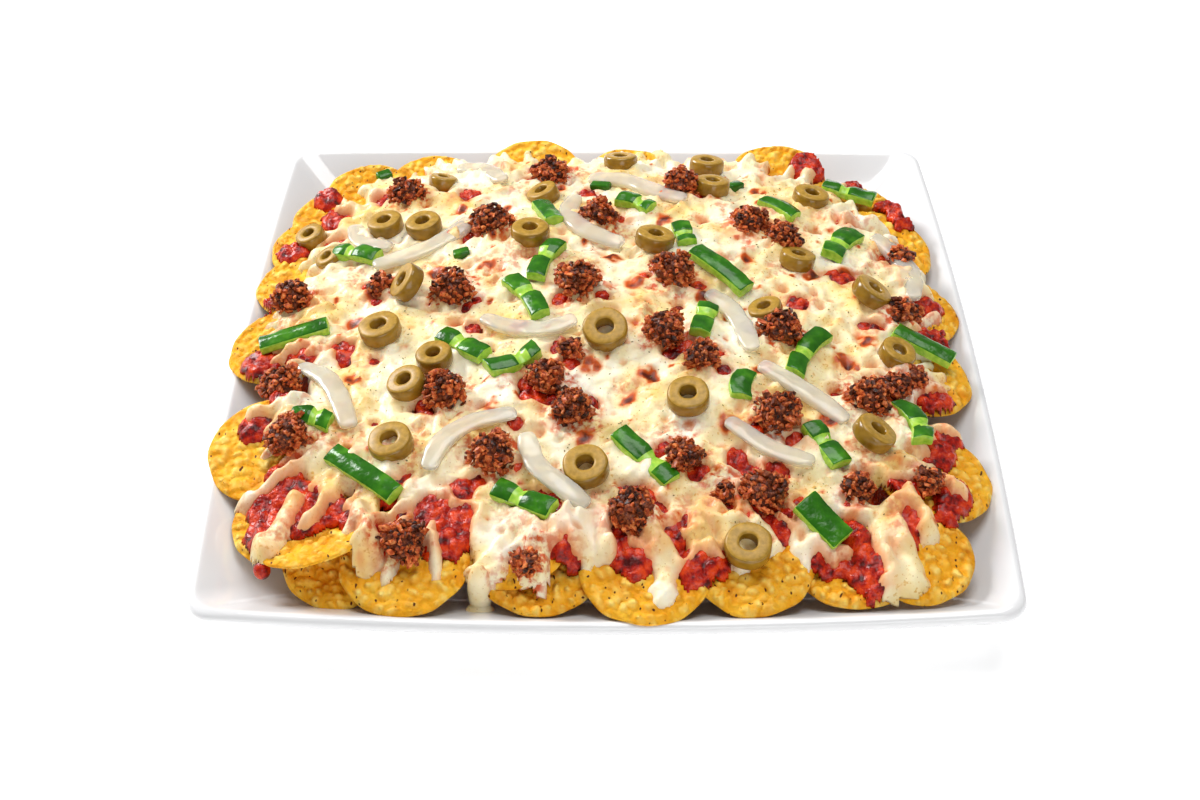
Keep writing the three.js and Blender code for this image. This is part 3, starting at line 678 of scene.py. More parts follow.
def chip_template(kind):
    """A chip of the usual radius, with its thickness and relief."""
    bm = bmesh.new()
    bmesh.ops.create_grid(bm, x_segments=CHIP_CELLS, y_segments=CHIP_CELLS, size=1)
    x, y = np.array([v.co[:2] for v in bm.verts]).T
    x, y = x * np.sqrt(1 - y * y / 2), y * np.sqrt(1 - x * x / 2)
    angle = np.arctan2(y, x)
    out = np.hypot(x, y)
    rng = np.random.default_rng(40 + kind)
    waves = (2, 3, 5, 7, 11)
    wobble = sum(rng.uniform(0.004, 0.009) * np.sin(n * angle + rng.uniform(0, 6.3)) for n in waves)
    x, y = CHIP_RADIUS * x, CHIP_RADIUS * y
    swirl = 1.2 * lattice_noise(x, y + 40 * kind, 6, 58)
    bubbles = domes(x + swirl + 60 * kind, y + swirl, BLISTER_SPACING, 60 + kind, 0.34, 0.62)
    bubbles = np.clip(bubbles, 0, 1)
    fine = np.clip(domes(x - 60 * kind, y + swirl, FINE_SPACING, 80 + kind, 0.35, 0.7), 0, 1)
    warp = CHIP_WARP * lattice_noise(x, y + 70 * kind, 19, 90 + kind)
    rounded = 0.55 * smooth_step(out, 0.95, 1)
    blistered = BLISTER_RISE * bubbles**0.55 + FINE_RISE * fine
    z = -0.5 + blistered * (1 - smooth_step(out, 0.9, 1)) + warp - rounded
    layer = bm.verts.layers.float.new("blister")
    for vert, a, b, c, w, value in zip(bm.verts, x, y, z, wobble, bubbles):
        vert.co = (a * (1 + w), b * (1 + w), c)
        vert[layer] = value
    rim = [e for e in bm.edges if e.is_boundary]
    for drop, shrink in RIM_STEPS:
        pushed = bmesh.ops.extrude_edge_only(bm, edges=rim)["geom"]
        low = [g for g in pushed if isinstance(g, bmesh.types.BMVert)]
        bmesh.ops.scale(bm, vec=(shrink, shrink, 1), verts=low)
        bmesh.ops.translate(bm, vec=(0, 0, -drop), verts=low)
        rim = [g for g in pushed if isinstance(g, bmesh.types.BMEdge)]
    bmesh.ops.triangle_fill(bm, use_beauty=False, edges=rim)
    bmesh.ops.recalc_face_normals(bm, faces=bm.faces)
    mesh = bpy.data.meshes.new("chip_kind")
    bm.to_mesh(mesh)
    bm.free()
    return mesh


chip_kinds = [chip_template(kind) for kind in range(CHIP_KINDS)]
print("chip kinds:", len(chip_kinds), "faces each:", len(chip_kinds[0].polygons))

# %% [markdown]
# Each place in the heap gets one of the six chips, at its own size, lean and turn. The turn changes
# from one to the next, so that two chips of a kind don't look alike.

# %% Chips in the heap
CHIP_TURN = 47
bm = bmesh.new()
for index, (x, y, z, radius, facing, tilt) in enumerate(CHIPS):
    before = len(bm.verts)
    bm.from_mesh(chip_kinds[index % CHIP_KINDS])
    bm.verts.ensure_lookup_table()
    size = Matrix.Diagonal((radius / CHIP_RADIUS, radius / CHIP_RADIUS, 1, 1))
    place_here = placing(x, y, z, leaning(facing, tilt), index * CHIP_TURN) @ size
    bmesh.ops.transform(bm, matrix=place_here, verts=bm.verts[before:])
print("chip faces:", len(bm.faces))
finish_piece("corn_chips", bm, [corn], ["chips_and_salsa"])

# %% [markdown]
# ## A way to make sheets of food
# Salsa and cheese are sheets whose height comes from a field. A sheet is a grid without the parts that
# another field leaves out, drawn downwards into a closed body.

# %% Sheets
def sheet(height, keep, thickness, cell=CELL):
    """A closed body whose top follows the height field wherever the keep field is above zero."""
    bm = bmesh.new()
    cells = int(2 * HALF_SPAN / cell)
    bmesh.ops.create_grid(bm, x_segments=cells, y_segments=cells, size=HALF_SPAN)
    plan = np.array([v.co[:2] for v in bm.verts])
    inside = read(keep, plan[:, 0], plan[:, 1]) > 0
    tops = read(height, plan[:, 0], plan[:, 1])
    out = []
    for vert, stays, z in zip(bm.verts, inside, tops):
        if stays:
            vert.co.z = z
        else:
            out.append(vert)
    bmesh.ops.delete(bm, geom=out, context="VERTS")
    lone = [v for v in bm.verts if not v.link_faces]
    bmesh.ops.delete(bm, geom=lone, context="VERTS")
    below = bmesh.ops.extrude_face_region(bm, geom=bm.faces[:], use_keep_orig=True)["geom"]
    low = [g for g in below if isinstance(g, bmesh.types.BMVert)]
    bmesh.ops.translate(bm, vec=(0, 0, -thickness), verts=low)
    bmesh.ops.recalc_face_normals(bm, faces=bm.faces)
    return bm


print("squares in a whole sheet:", (len(AXIS) - 1) ** 2)

# %% [markdown]
# Circles and strands make the fields that say where food lies and how high. Soft food that passes over
# an edge hangs in a slope, so a field's heights can also be widened outwards, with a fall for each step.

# %% Circles, strands and widening
def circles(places, soft=2.5):
    """A field that is 1 inside the circles (x, y, radius) and fades to 0 over a soft border."""
    field = np.zeros(X.shape)
    for x, y, radius in places:
        distance = np.hypot(X - x, Y - y) - radius
        field = np.maximum(field, 1 - smooth_step(distance, -soft, soft))
    return field


def strands(lines, sway=1.6):
    """A field of round ridges, from (x, y, angle, length, radius, height), that sway a little."""
    field = np.zeros(X.shape)
    for x, y, angle, length, radius, height in lines:
        half = length / 2 + radius
        i = np.flatnonzero(np.abs(AXIS - x) < half)
        j = np.flatnonzero(np.abs(AXIS - y) < half)
        if not len(i) or not len(j):
            continue
        window = np.ix_(j, i)
        dx, dy = X[window] - x, Y[window] - y
        along = dx * math.cos(angle) + dy * math.sin(angle)
        across = -dx * math.sin(angle) + dy * math.cos(angle)
        past = np.maximum(0, np.abs(along) - length / 2)
        bend = across - sway * np.sin(along / length * 3)
        ridge = height * np.sqrt(np.maximum(0, 1 - (bend * bend + past * past) / radius**2))
        field[window] = np.maximum(field[window], ridge)
    return field


def widened(field, steps=1, fall=0.0):
    """Each value raised to its neighbours', less a fall for each step, as a sheet hangs off an edge."""
    for _ in range(steps):
        wide = field.copy()
        for axis in (0, 1):
            for shift in (-1, 1):
                wide = np.maximum(wide, np.roll(field, shift, axis) - fall)
        field = wide
    return field


print("points in a circle of 5 mm:", round(float(circles([(0, 0, 5)]).sum())))

# %% [markdown]
# ## Where beef and salsa lie
# The lists place the crumbles and the patches of salsa as the picture shows them. A little salsa also
# shows beside each crumble, so three small patches at random places round it join the list. The crumble
# at the very front lies on bare chip and gets none.

# %% Beef and salsa places
BEEF = [  # x, y, radius
    (-87, 86, 9), (-48, 51, 9.5), (-24, 104, 9), (-3, 60, 9), (33, 88, 9), (-62, 7, 9.5), (-92, 19, 6),
    (-11, 6, 9.5), (27, 15, 9.5), (61, 54, 8.5), (74, 46, 8.5), (69, -17, 9.5), (23, -24, 9),
    (37, -39, 7.5), (-129, 16, 9), (-126, -37, 9.5), (-119, -69, 9.5), (-61, -54, 9), (-23, -49, 8),
    (-13, -64, 8.5), (-42, -86, 9.5), (-72, -122, 9), (9, -111, 9.5), (28, -86, 7.5), (64, -66, 9.5),
    (57, -101, 9.5), (43, -101, 5), (100, -50, 9.5), (112, -41, 7), (121, 5, 8), (91, -97, 6.5),
    (121, -33, 5.5), (126, 49, 6), (-14, -33, 5), (118, -92, 6), (-28, -132, 5.5),
]
SALSA_PATCHES = [  # x, y, radius
    (-124, -97, 8), (-125, -110, 7), (-112, -96, 9), (-101, -103, 9), (-62, -107, 7), (-52, -112, 9),
    (-20, -119, 8), (-30, -104, 6), (5, -119, 8), (10, -128, 7), (31, -131, 7), (22, -119, 6),
    (86, -118, 9), (94, -130, 9), (97, -139, 5.5), (70, -106, 6), (128, -92, 8), (126, -103, 6),
    (124, -72, 8), (131, -60, 6), (130, -42, 8), (138, -2, 6), (133, 84, 7), (128, 93, 7), (94, 124, 9),
    (72, 112, 6), (-118, 82, 8), (-136, 60, 6), (-142, 22, 6), (-138, -18, 8), (-121, -17, 7),
    (-98, 92, 8), (-116, 62, 6), (-106, -18, 7), (-53, -15, 4.5), (98, 28, 6), (78, 5, 5), (108, -5, 6),
    (-8, 86, 5), (-60, 88, 6), (62, -90, 6), (48, -84, 5), (12, -104, 7), (-78, -98, 6), (-125, 98, 6),
    (125, 40, 6), (104, 68, 6), (-47, 118, 6), (112, 108, 6), (134, 20, 6), (-134, -60, 6),
    (-108, -108, 8), (-92, -108, 6), (-70, -112, 7), (-57, -119, 7), (-22, -108, 8), (-14, -124, 6),
    (18, -122, 7), (38, -128, 6), (66, -112, 6), (79, -124, 7), (104, -118, 7), (112, -108, 6),
    (-52, -100, 6), (34, -112, 6), (-120, -84, 7), (106, -98, 7), (97, -90, 5), (38, -107, 4.5),
    (54, -107, 4), (-2, -88, 4), (-96, -78, 5), (-34, -70, 4),
]
FRONT_EDGE = -125
rng = np.random.default_rng(25)
for x, y, radius in BEEF:
    for _ in range(3):
        turn = rng.uniform(0, 2 * math.pi)
        out = radius * rng.uniform(0.95, 1.25)
        size = rng.uniform(2.6, 4.8)
        if y > FRONT_EDGE:
            SALSA_PATCHES.append((x + out * math.cos(turn), y + out * math.sin(turn), size))
print("crumbles:", len(BEEF), "salsa patches:", len(SALSA_PATCHES))

# %% [markdown]
# ## The salsa
# Salsa was spooned on in patches, and it shows round the border wherever the cheese has run thin. Its
# surface is crushed tomato, lumps two to six millimetres wide in a wet sauce, so two sizes of domes
# make its relief. It ends with the chips that carry it, and one drop hangs from the tip of a chip.

# %% Salsa
BED_EDGE = 117  # further out than this, only chips carry food
LUMP_SPACING = 4.2
LUMP_RISE = 2.1
SMALL_LUMP_SPACING = 2.2
SMALL_LUMP_RISE = 0.9
chunks = domes(X, Y, LUMP_SPACING, 21, 0.4, 0.72)
small_chunks = domes(X, Y, SMALL_LUMP_SPACING, 22, 0.4, 0.72)
pulp_relief = LUMP_RISE * np.clip(chunks, 0, 1) ** 0.7 + SMALL_LUMP_RISE * np.clip(small_chunks, 0, 1) ** 0.7
ragged = 0.5 * lattice_noise(X, Y, 6, 23) + 0.35 * lattice_noise(X, Y, 2.6, 24)
reach = squarish_reach(X, Y)
past_chips = blur(1.0 * (np.isinf(CHIP_TOP) & (reach > BED_EDGE)), 1.5)
ring = smooth_step(reach, 88, 96) * (1 - smooth_step(reach, 112, 120))
ring = ring * (lattice_noise(X, Y, 14, 26) > -0.35 - 0.5 * (Y < -60))
patches = circles(SALSA_PATCHES, 3)
patch_field = np.maximum(patches, 0.8 * blur(ring, 2)) * (past_chips < 0.4)
salsa_keep = blur(patch_field * 1.5 + ragged * 0.6 * (patch_field > 0) - 0.45, 0.7)
salsa_swell = smooth_step(salsa_keep, -0.1, 0.45)
on_chips = blur(widened(np.maximum(HEAP_TOP - CHEESE_LAP, CHIP_TOP), steps=2), 1.2)
salsa_height = on_chips - 0.9 + (pulp_relief + 1.9) * salsa_swell * (0.3 + 0.7 * blur(patches, 1.5))
SALSA_TOP = np.where(salsa_keep > 0, salsa_height, -np.inf)

DROPLET = (-122.5, -127.5, 26.8)
DROPLET_RADIUS = 3.1
bm = sheet(salsa_height, salsa_keep + 0.12, 2)
hang = Matrix.Translation(DROPLET) @ Matrix.Diagonal((1, 1, 1.15, 1))
bmesh.ops.create_icosphere(bm, subdivisions=3, radius=DROPLET_RADIUS, matrix=hang)
print("salsa faces:", len(bm.faces))
finish_piece("salsa_patches", bm, [tomato], ["chips_and_salsa"])

# %% [markdown]
# ## The bed
# Under the cheese lie more chips and salsa, which the picture doesn't show. They are one plain mound
# that keeps the heap closed wherever the cheese has an opening.

# %% Bed
BED_HALF = 124
bed_share = squarish_reach(X, Y) / BED_HALF
bed_height = blur(HEAP_TOP, 3) - 4.2 - 9 * smooth_step(bed_share, 0.88, 1.02) + 0.8 * chunks
bm = sheet(bed_height, 1 - bed_share, 4, cell=3)
print("bed faces:", len(bm.faces))
finish_piece("salsa_bed", bm, [tomato], ["chips_and_salsa"])

# %% [markdown]
# ## What lies on the cheese
# Cheese melts up against everything that is bedded in it. To shape that, the script looks straight
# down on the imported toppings, and notes where there is one above each point of the field.

# %% Footprints
def merged_copy(node_name):
    """A CAD node's mesh in millimetres, with its loose triangles joined at their points."""
    bm = bmesh.new()
    bm.from_mesh(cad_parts[node_name].data)
    bmesh.ops.scale(bm, vec=(1 / MM, 1 / MM, 1 / MM), verts=bm.verts)
    bmesh.ops.remove_doubles(bm, verts=bm.verts, dist=0.01)
    return bm


def nodes_called(start):
    return sorted(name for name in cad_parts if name.startswith(start))


def footprint(node_names):
    """1 on the field where one of the nodes is overhead, and 0 elsewhere."""
    field = np.zeros(X.shape)
    for name in node_names:
        bm = merged_copy(name)
        tree = BVHTree.FromBMesh(bm)
        low, high = (np.array(corner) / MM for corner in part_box(name))
        for j in np.flatnonzero((AXIS > low[1]) & (AXIS < high[1])):
            for i in np.flatnonzero((AXIS > low[0]) & (AXIS < high[0])):
                if tree.ray_cast((AXIS[i], AXIS[j], 100), (0, 0, -1))[0]:
                    field[j, i] = 1
        bm.free()
    return field


topping_print = footprint(nodes_called("olive") + nodes_called("pepper") + nodes_called("onion"))
beef_print = circles([(x, y, r * 0.85) for x, y, r in BEEF], 1)
print("share of the field under toppings:", round(float(topping_print.mean()), 3))

# %% [markdown]
# ## The cheese
# The cheese went on as shreds three to four millimetres wide. In the oven they sank into one
# blanket that still shows their ridges, and at the border single shreds ran down over salsa and
# chips. So the sheet is laid up the same way: shreds that lie every way on a blanket, then shreds that
# point outwards over the border, and a few long drips where the picture has them.

# %% Shreds and drips
DRIPS = [  # from x, y to x, y, and the width
    (-44, -112, -45, -132, 7), (-38, -116, -42, -130, 4.5), (17, -112, 20, -140, 7.5),
    (-88, -106, -85, -126, 7.5), (-113, -98, -122, -121, 9), (104, -106, 107, -132, 10),
    (99, -118, 100, -137, 6), (48, -94, 46, -113, 3.2), (33, -108, 36, -124, 5),
    (-8, -112, -9, -124, 5), (-26, -108, -27, -122, 5), (-100, -92, -108, -112, 5),
    (118, -84, 130, -92, 6), (112, -96, 116, -113, 6), (-116, -84, -134, -92, 5),
    (-118, -2, -134, -4, 6), (-116, 28, -132, 30, 6), (118, -56, 132, -60, 6), (120, 30, 134, 30, 6),
    (-120, -52, -134, -54, 6), (64, 108, 68, 120, 6), (-12, 110, -12, 122, 7), (-58, 108, -62, 120, 6),
]
LYING_SHREDS = 2000
RUNNING_SHREDS = 560
LEFT_OUT_OVER_SALSA = 0.65

rng = np.random.default_rng(33)
lying, running = [], []
for _ in range(LYING_SHREDS):
    x, y = rng.uniform(-128, 128, 2)
    turn, length = rng.uniform(0, math.pi), rng.uniform(9, 22)
    lying.append((x, y, turn, length, rng.uniform(1.3, 2.2), rng.uniform(0.2, 1.25)))
for _ in range(RUNNING_SHREDS):
    out, share = rng.uniform(0, 2 * math.pi), rng.uniform(0.86, 1.0)
    c, s = math.cos(out), math.sin(out)
    grow = share * (cheese_reach(out) + 2) / float(squarish_reach(c, s))
    turn = out + rng.normal(0, 0.45)
    if read(patches, c * grow, s * grow) > 0.5 and rng.random() < LEFT_OUT_OVER_SALSA:
        continue
    running.append((c * grow, s * grow, turn, rng.uniform(8, 22), rng.uniform(0.8, 1.9), 1))
for x0, y0, x1, y1, width in DRIPS:
    middle = ((x0 + x1) / 2, (y0 + y1) / 2)
    turn = math.atan2(y1 - y0, x1 - x0)
    running.append((*middle, turn, math.hypot(x1 - x0, y1 - y0), width * 0.42, 1))
    running.append((x1, y1, turn, width * 0.4, width * 0.6, 1.2))
shreds = strands(lying)
runs = strands(running)
print("shreds:", len(lying), "runs:", len(running))

# %% [markdown]
# The blanket stops short of some chips, and it is torn open over the salsa patches and at a few random
# places away from the toppings. Shreds bridge the smaller openings, and runs pass over the border.

# %% Where there is cheese
BARE_CHIP = [(66, -114, 9), (58, -106, 6), (73, -124, 8), (43, -106, 4), (-56, -130, 8)]  # x, y, radius
border = cheese_reach(np.arctan2(Y, X)) - 7 - 14 * circles(BARE_CHIP, 3) - 5 * smooth_step(-Y, 70, 100)
border = border + 5 * lattice_noise(X, Y, 13, 31) + 3 * lattice_noise(X, Y, 5.5, 32)
all_toppings = np.maximum(topping_print, beef_print)
holes = circles([(x, y, r * 0.92) for x, y, r in SALSA_PATCHES], 2.4)
openings = domes(X, Y, 15, 48, 0.12, 0.28) * (lattice_noise(X, Y, 30, 49) > -0.25)
openings_allowed = 1 - np.clip(2 * blur(all_toppings, 1.5), 0, 1)
holes = np.maximum(holes, smooth_step(openings, 0.1, 0.6) * openings_allowed)
torn = 0.45 * lattice_noise(X, Y, 5, 34) + 0.3 * lattice_noise(X, Y, 2.5, 35)
blanket = smooth_step(border - reach, -1.5, 1.5) * (holes + torn * 0.8 < 0.5)
web = (shreds > 0.55) * (holes < 0.9) * (reach < border + 3) * (lattice_noise(X, Y, 9, 36) > -0.1)
cover_share = np.maximum.reduce([blanket, web * (reach > 60) * 1.0, (runs > 0.1) * 1.0])
cover_share = cover_share * (circles(BARE_CHIP, 2) * (runs < 0.1) < 0.6)
cheese_keep = blur(cover_share * (past_chips < 0.6), 1.2)
print("share of the field under cheese:", round(float((cheese_keep > 0.5).mean()), 3))

# %% [markdown]
# The blanket is thin at its border and swells inwards, as melted cheese does. Its top adds the ridges of
# the shreds, slow sags, a few bubbles and pits, and it climbs a little up whatever is bedded in it.
# Between two chips one run went all the way down to the plate, and two rounded lobes make that one.

# %% Cheese blanket
EDGE = 0.45
SHRED_RISE = 1.9
BUBBLE_RISE = 0.9
PIT_DEPTH = 1.9
FILLET_RISE = 2.6
RUN_RISE = 2.1
swell = np.clip((cheese_keep - EDGE) / (0.98 - EDGE), 0, 1) ** 0.65
sunk = 8 * np.minimum(0, cheese_keep - EDGE)
carried = np.maximum(SALSA_TOP, np.maximum(HEAP_TOP - CHEESE_LAP, CHIP_TOP))
laid_on = blur(widened(widened(carried), steps=9, fall=1.2), 1.3)
sag = 1.2 * lattice_noise(X, Y, 17, 37) + 0.9 * lattice_noise(X, Y, 8, 38)
bubbles = np.clip(domes(X, Y, 13, 39, 0.12, 0.3), 0, 1)
pits = np.clip(domes(X, Y, 10, 45, 0.1, 0.26), 0, 1) ** 0.7
relief = SHRED_RISE * blur(shreds, 0.5) + 0.4 * lattice_noise(X, Y, 2.6, 40) + sag
relief = relief + BUBBLE_RISE * bubbles - PIT_DEPTH * pits
fillet = FILLET_RISE * blur(all_toppings, 2.6)
thickness = 0.9 + relief + fillet
clear_of_toppings = 1 - np.clip(1.6 * blur(all_toppings, 2), 0, 1)
run_relief = RUN_RISE * blur(runs, 0.8) * smooth_step(reach, 95, 112) * clear_of_toppings
cheese_height = laid_on - 0.3 + sunk + (0.3 + np.maximum(0.5, thickness) + run_relief) * swell

RUN_TO_PLATE = [  # middle and half sizes of each lobe
    ((-44.8, -134.5, 24), (4.4, 3.6, 13)),
    ((-45, -137, 14.5), (5.6, 4.4, 4.5)),
]
bm = sheet(cheese_height, cheese_keep - 0.1, 1.2, cell=1.2)
for middle, half_sizes in RUN_TO_PLATE:
    lobe = Matrix.Translation(middle) @ Matrix.Diagonal((*half_sizes, 1))
    bmesh.ops.create_icosphere(bm, subdivisions=4, radius=1, matrix=lobe)
print("cheese faces:", len(bm.faces))
cheese = finish_piece("cheese_blanket", bm, [melted], ["cheese_and_beef"])

# %% [markdown]
# Three things colour the cheese, and each becomes a number on the mesh's points: how browned it is, at
# scorched spots and on high ridges; how stained it is by fat, round the beef; and how thin it is over salsa.

# %% Browning, stains and thin places
BROWNED = [  # x, y, radius
    (-6, -40, 4), (16, -45, 3.5), (8, -56, 3), (94, -28, 4), (12, 10, 3.5), (86, 26, 3.5), (-95, 17, 3.5),
    (-44, -62, 3), (40, 4, 3), (-70, 24, 3), (-20, 92, 3), (58, 30, 3), (-34, -18, 3), (2, 28, 3),
    (84, -64, 3), (-98, -40, 3), (60, -42, 3), (-8, -76, 3), (26, 60, 3), (-64, 72, 3), (68, 92, 3),
    (100, 30, 3), (46, -70, 3), (-48, 24, 3), (104, -16, 3), (-102, 0, 3),
]
spots = circles([(x, y, r * 1.05) for x, y, r in BROWNED], 3)
small_spots = np.clip(domes(X, Y, 11, 46, 0.06, 0.17), 0, 1) * (lattice_noise(X, Y, 24, 47) > -0.2)
spots = np.maximum(spots, 0.9 * small_spots)
ragged_spots = np.clip(spots * (0.75 + 0.7 * lattice_noise(X, Y, 2.2, 42)) + 0.35 * pits, 0, 1)
peaks = smooth_step(blur(shreds, 0.8) + 0.35 * lattice_noise(X, Y, 7, 41), 0.95, 1.3)
near_beef = blur(circles([(x, y, r + 3) for x, y, r in BEEF], 2), 2.5)
fat = near_beef * (0.7 + 1.3 * lattice_noise(X, Y, 4.5, 43))
fat = fat + 0.6 * smooth_step(lattice_noise(X, Y, 11, 44), 0.2, 0.7)
thinness = (np.clip(1.15 - swell, 0, 1) * 0.9 + 0.25) * np.clip(1.4 * blur(holes, 2.2), 0, 1)
on_food = past_chips < 0.4
marks = {"browned": ragged_spots + 0.25 * peaks, "stained": fat * on_food, "thin": thinness * on_food}
plan = points_mm(cheese.data)
for name, field in marks.items():
    paint(cheese, name, np.clip(read(field, plan[:, 0], plan[:, 1]), 0, 1))
print("painted:", ", ".join(marks))

# %% [markdown]
# ## The beef
# A crumble of fried mince is a knot of granules about two millimetres thick and up to five long, burnt
# dark on top and redder at the sides. Thousands show, so each has few faces: six granules are made by
# roughening a twenty-sided ball. A finer, smoother ball makes the core that they cover.

# %% Granules
GRANULE_KINDS = 6


def lumpy_ball(subdivisions, roughness, seed):
    """A ball whose points are moved in and out at random."""
    bm = bmesh.new()
    bmesh.ops.create_icosphere(bm, subdivisions=subdivisions, radius=1)
    rng = np.random.default_rng(seed)
    for vert in bm.verts:
        vert.co *= 1 + rng.uniform(-roughness, roughness)
    return template(bm)


granules = [lumpy_ball(1, 0.42, 50 + kind) for kind in range(GRANULE_KINDS)]
granules.append(lumpy_ball(3, 0.07, 59))
print("granule kinds:", GRANULE_KINDS, "faces each:", len(granules[0][1]))

# %% [markdown]
# A large crumble packs 169 granules over its core, spread evenly round it by the golden angle and
# moved a little at random. Each has its own size, turn and tone, and those on top are burnt more often.
# Flat shading keeps the broken, crusty facets that smooth granules would lose.

# %% Beef
GRANULES_EACH = 165
LEAST_GRANULES = 4
FULL_RADIUS = 9
GOLDEN_ANGLE = 2.39996
GRANULE_SIZES = [0.7, 0.95, 1.2, 1.55]
SIZE_CHANCES = [0.3, 0.35, 0.25, 0.1]
CORE_SHAPE = (0.78, 0.74, 0.64)
CORE_TONE, BURNT_TONE, RUDDY_TONE = 0.15, 0.08, 0.78
rng = np.random.default_rng(51)
placements, tones = [], []
for x, y, radius in BEEF:
    normal = cover_normal(x, y)
    centre = Vector((x, y, float(read(COVER, x, y)))) + normal * radius * 0.35
    lean = placing(*centre, normal, rng.uniform(0, 360))
    core = Matrix.Diagonal((*(radius * share for share in CORE_SHAPE), 1))
    placements.append((GRANULE_KINDS, lean @ core))
    tones.append(CORE_TONE)
    count = int(GRANULES_EACH * min(1, (radius / FULL_RADIUS) ** 1.6)) + LEAST_GRANULES
    for k in range(count):
        z = 1 - 1.55 * (k + 0.5) / count
        turn = k * GOLDEN_ANGLE + rng.uniform(-0.3, 0.3)
        flat = math.sqrt(max(0, 1 - z * z))
        knob = 0.1 * math.sin(3 * turn + x) * flat + 0.08 * math.sin(5 * z + 2 * turn + y)
        out = radius * (rng.uniform(0.72, 0.92) + knob)
        spot = Vector((flat * math.cos(turn) * out, 0.95 * flat * math.sin(turn) * out, z * out * 0.85))
        size = rng.choice(GRANULE_SIZES, p=SIZE_CHANCES)
        shape = Matrix.Diagonal((size * rng.uniform(0.9, 1.7), size, size * rng.uniform(0.6, 1), 1))
        spin = Matrix.Rotation(rng.uniform(0, 6.28), 4, "Z") @ Matrix.Rotation(rng.uniform(0, 3), 4, "X")
        placements.append((int(rng.integers(GRANULE_KINDS)), lean @ Matrix.Translation(spot) @ spin @ shape))
        burnt = rng.random() < 0.12 + 0.4 * max(0, z)
        tones.append(float(np.clip(rng.normal(BURNT_TONE if burnt else RUDDY_TONE, 0.18), 0, 1)))
bm = joined_copies(granules, placements, "tone", tones)
print("crumbles:", len(BEEF), "granules:", len(placements), "faces:", len(bm.faces))
finish_piece("beef_crumbles", bm, [mince], ["cheese_and_beef"], smooth=False)

# %% [markdown]
# ## The olives
# A slice of pitted olive is a short barrel with a hole. The knife leaves flat faces with slightly
# rounded edges, and the skin stays on the barrel. Each slice is a rounded section spun round its own axis,
# at the place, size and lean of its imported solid.

# %% Olives
HALF_SUNK_OLIVES = [  # x, y, radius, and the way and the degrees that it leans
    (64.5, -3, 7.2, 160, 22), (80, 34, 7.5, 90, 10), (-27, 86, 7, 200, 20), (-128, 66, 6.5, 200, 15),
    (-73, 100, 6.5, 20, 15), (-117, 45, 6, 190, 15),
]
OLIVE_HEIGHT = 6.6
OLIVE_HOLE = 0.4  # the hole's share of the radius
OLIVE_STEPS = 40


def olive_slice(bm, matrix, radius, seed):
    """Adds a slice that stands on the matrix's floor. Tags tell its points and faces from older ones."""
    hole, height = radius * OLIVE_HOLE, OLIVE_HEIGHT
    section = [
        (hole + 0.35, height - 0.05), (hole + 1.2, height), (radius - 1.3, height - 0.05),
        (radius - 0.5, height - 0.35), (radius - 0.08, height - 1.1), (radius, height * 0.5),
        (radius - 0.08, 1.1), (radius - 0.5, 0.35), (radius - 1.3, 0.05), (hole + 1.2, 0),
        (hole + 0.35, 0.05), (hole, 0.4), (hole - 0.1, height * 0.5), (hole, height - 0.4),
    ]
    verts = [bm.verts.new((r, 0, z)) for r, z in section]
    edges = [bm.edges.new((a, b)) for a, b in zip(verts, verts[1:] + verts[:1])]
    bmesh.ops.spin(
        bm, geom=verts + edges, axis=(0, 0, 1), cent=(0, 0, 0), angle=2 * math.pi,
        steps=OLIVE_STEPS, use_merge=True,
    )
    fresh = {v for v in bm.verts if v.tag is False}
    for face in bm.faces:
        if face.tag:
            continue
        face.tag = True
        out = face.calc_center_median()
        reach_out = math.hypot(out.x, out.y)
        # The barrel and the hole's wall get the skin material; in the hole its darker colour is partly
        # painted shade.
        face.material_index = 0 if hole + 0.1 < reach_out < radius - 0.9 else 1
    for vert in fresh:
        vert.tag = True
        angle = math.atan2(vert.co.y, vert.co.x)
        wobble = 0.03 * math.sin(2 * angle + seed) + 0.015 * math.sin(5 * angle + 2 * seed)
        vert.co.x *= 1 + wobble
        vert.co.y *= 1 - wobble * 0.6
    bmesh.ops.transform(bm, matrix=matrix, verts=list(fresh))


def own_axis(name):
    """The foot point, up direction and radius of a packed olive."""
    bm = merged_copy(name)
    points = np.array([v.co[:] for v in bm.verts])
    bm.free()
    middle = points.mean(0)
    _, _, axes = np.linalg.svd(points - middle)
    up = axes[2] * math.copysign(1, axes[2][2])
    along = (points - middle) @ up
    across = np.linalg.norm((points - middle) - np.outer(along, up), axis=1)
    return Vector(middle - up * OLIVE_HEIGHT / 2), Vector(up), float(across.max())


bm = bmesh.new()
olive_nodes = nodes_called("olive")
for index, name in enumerate(olive_nodes):
    foot, up, radius = own_axis(name)
    olive_slice(bm, placing(*foot, up), radius, index)
for index, (x, y, radius, facing, tilt) in enumerate(HALF_SUNK_OLIVES):
    up = (cover_normal(x, y) + leaning(facing, tilt) - Vector((0, 0, 1))).normalized()
    foot = Vector((x, y, float(read(COVER, x, y)))) - up * 2.5
    olive_slice(bm, placing(*foot, up), radius, 100 + index)
bmesh.ops.recalc_face_normals(bm, faces=bm.faces)
print("olive slices:", len(olive_nodes) + len(HALF_SUNK_OLIVES), "faces:", len(bm.faces))
finish_piece("olive_slices", bm, [olive_cut, olive_skin_and_hole_shade], olive_nodes)

# %% [markdown]
# ## The peppers
# The strips were cut with a knife, so they are long blocks with fairly sharp edges, bent by the
# pepper's wall. Their tops are skin and their sides are flesh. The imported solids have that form, so each
# is copied, its edges are rounded, and its surface is made finer and uneven. A strip can also get a
# waist where the wall was folded, and there the pale flesh shows.

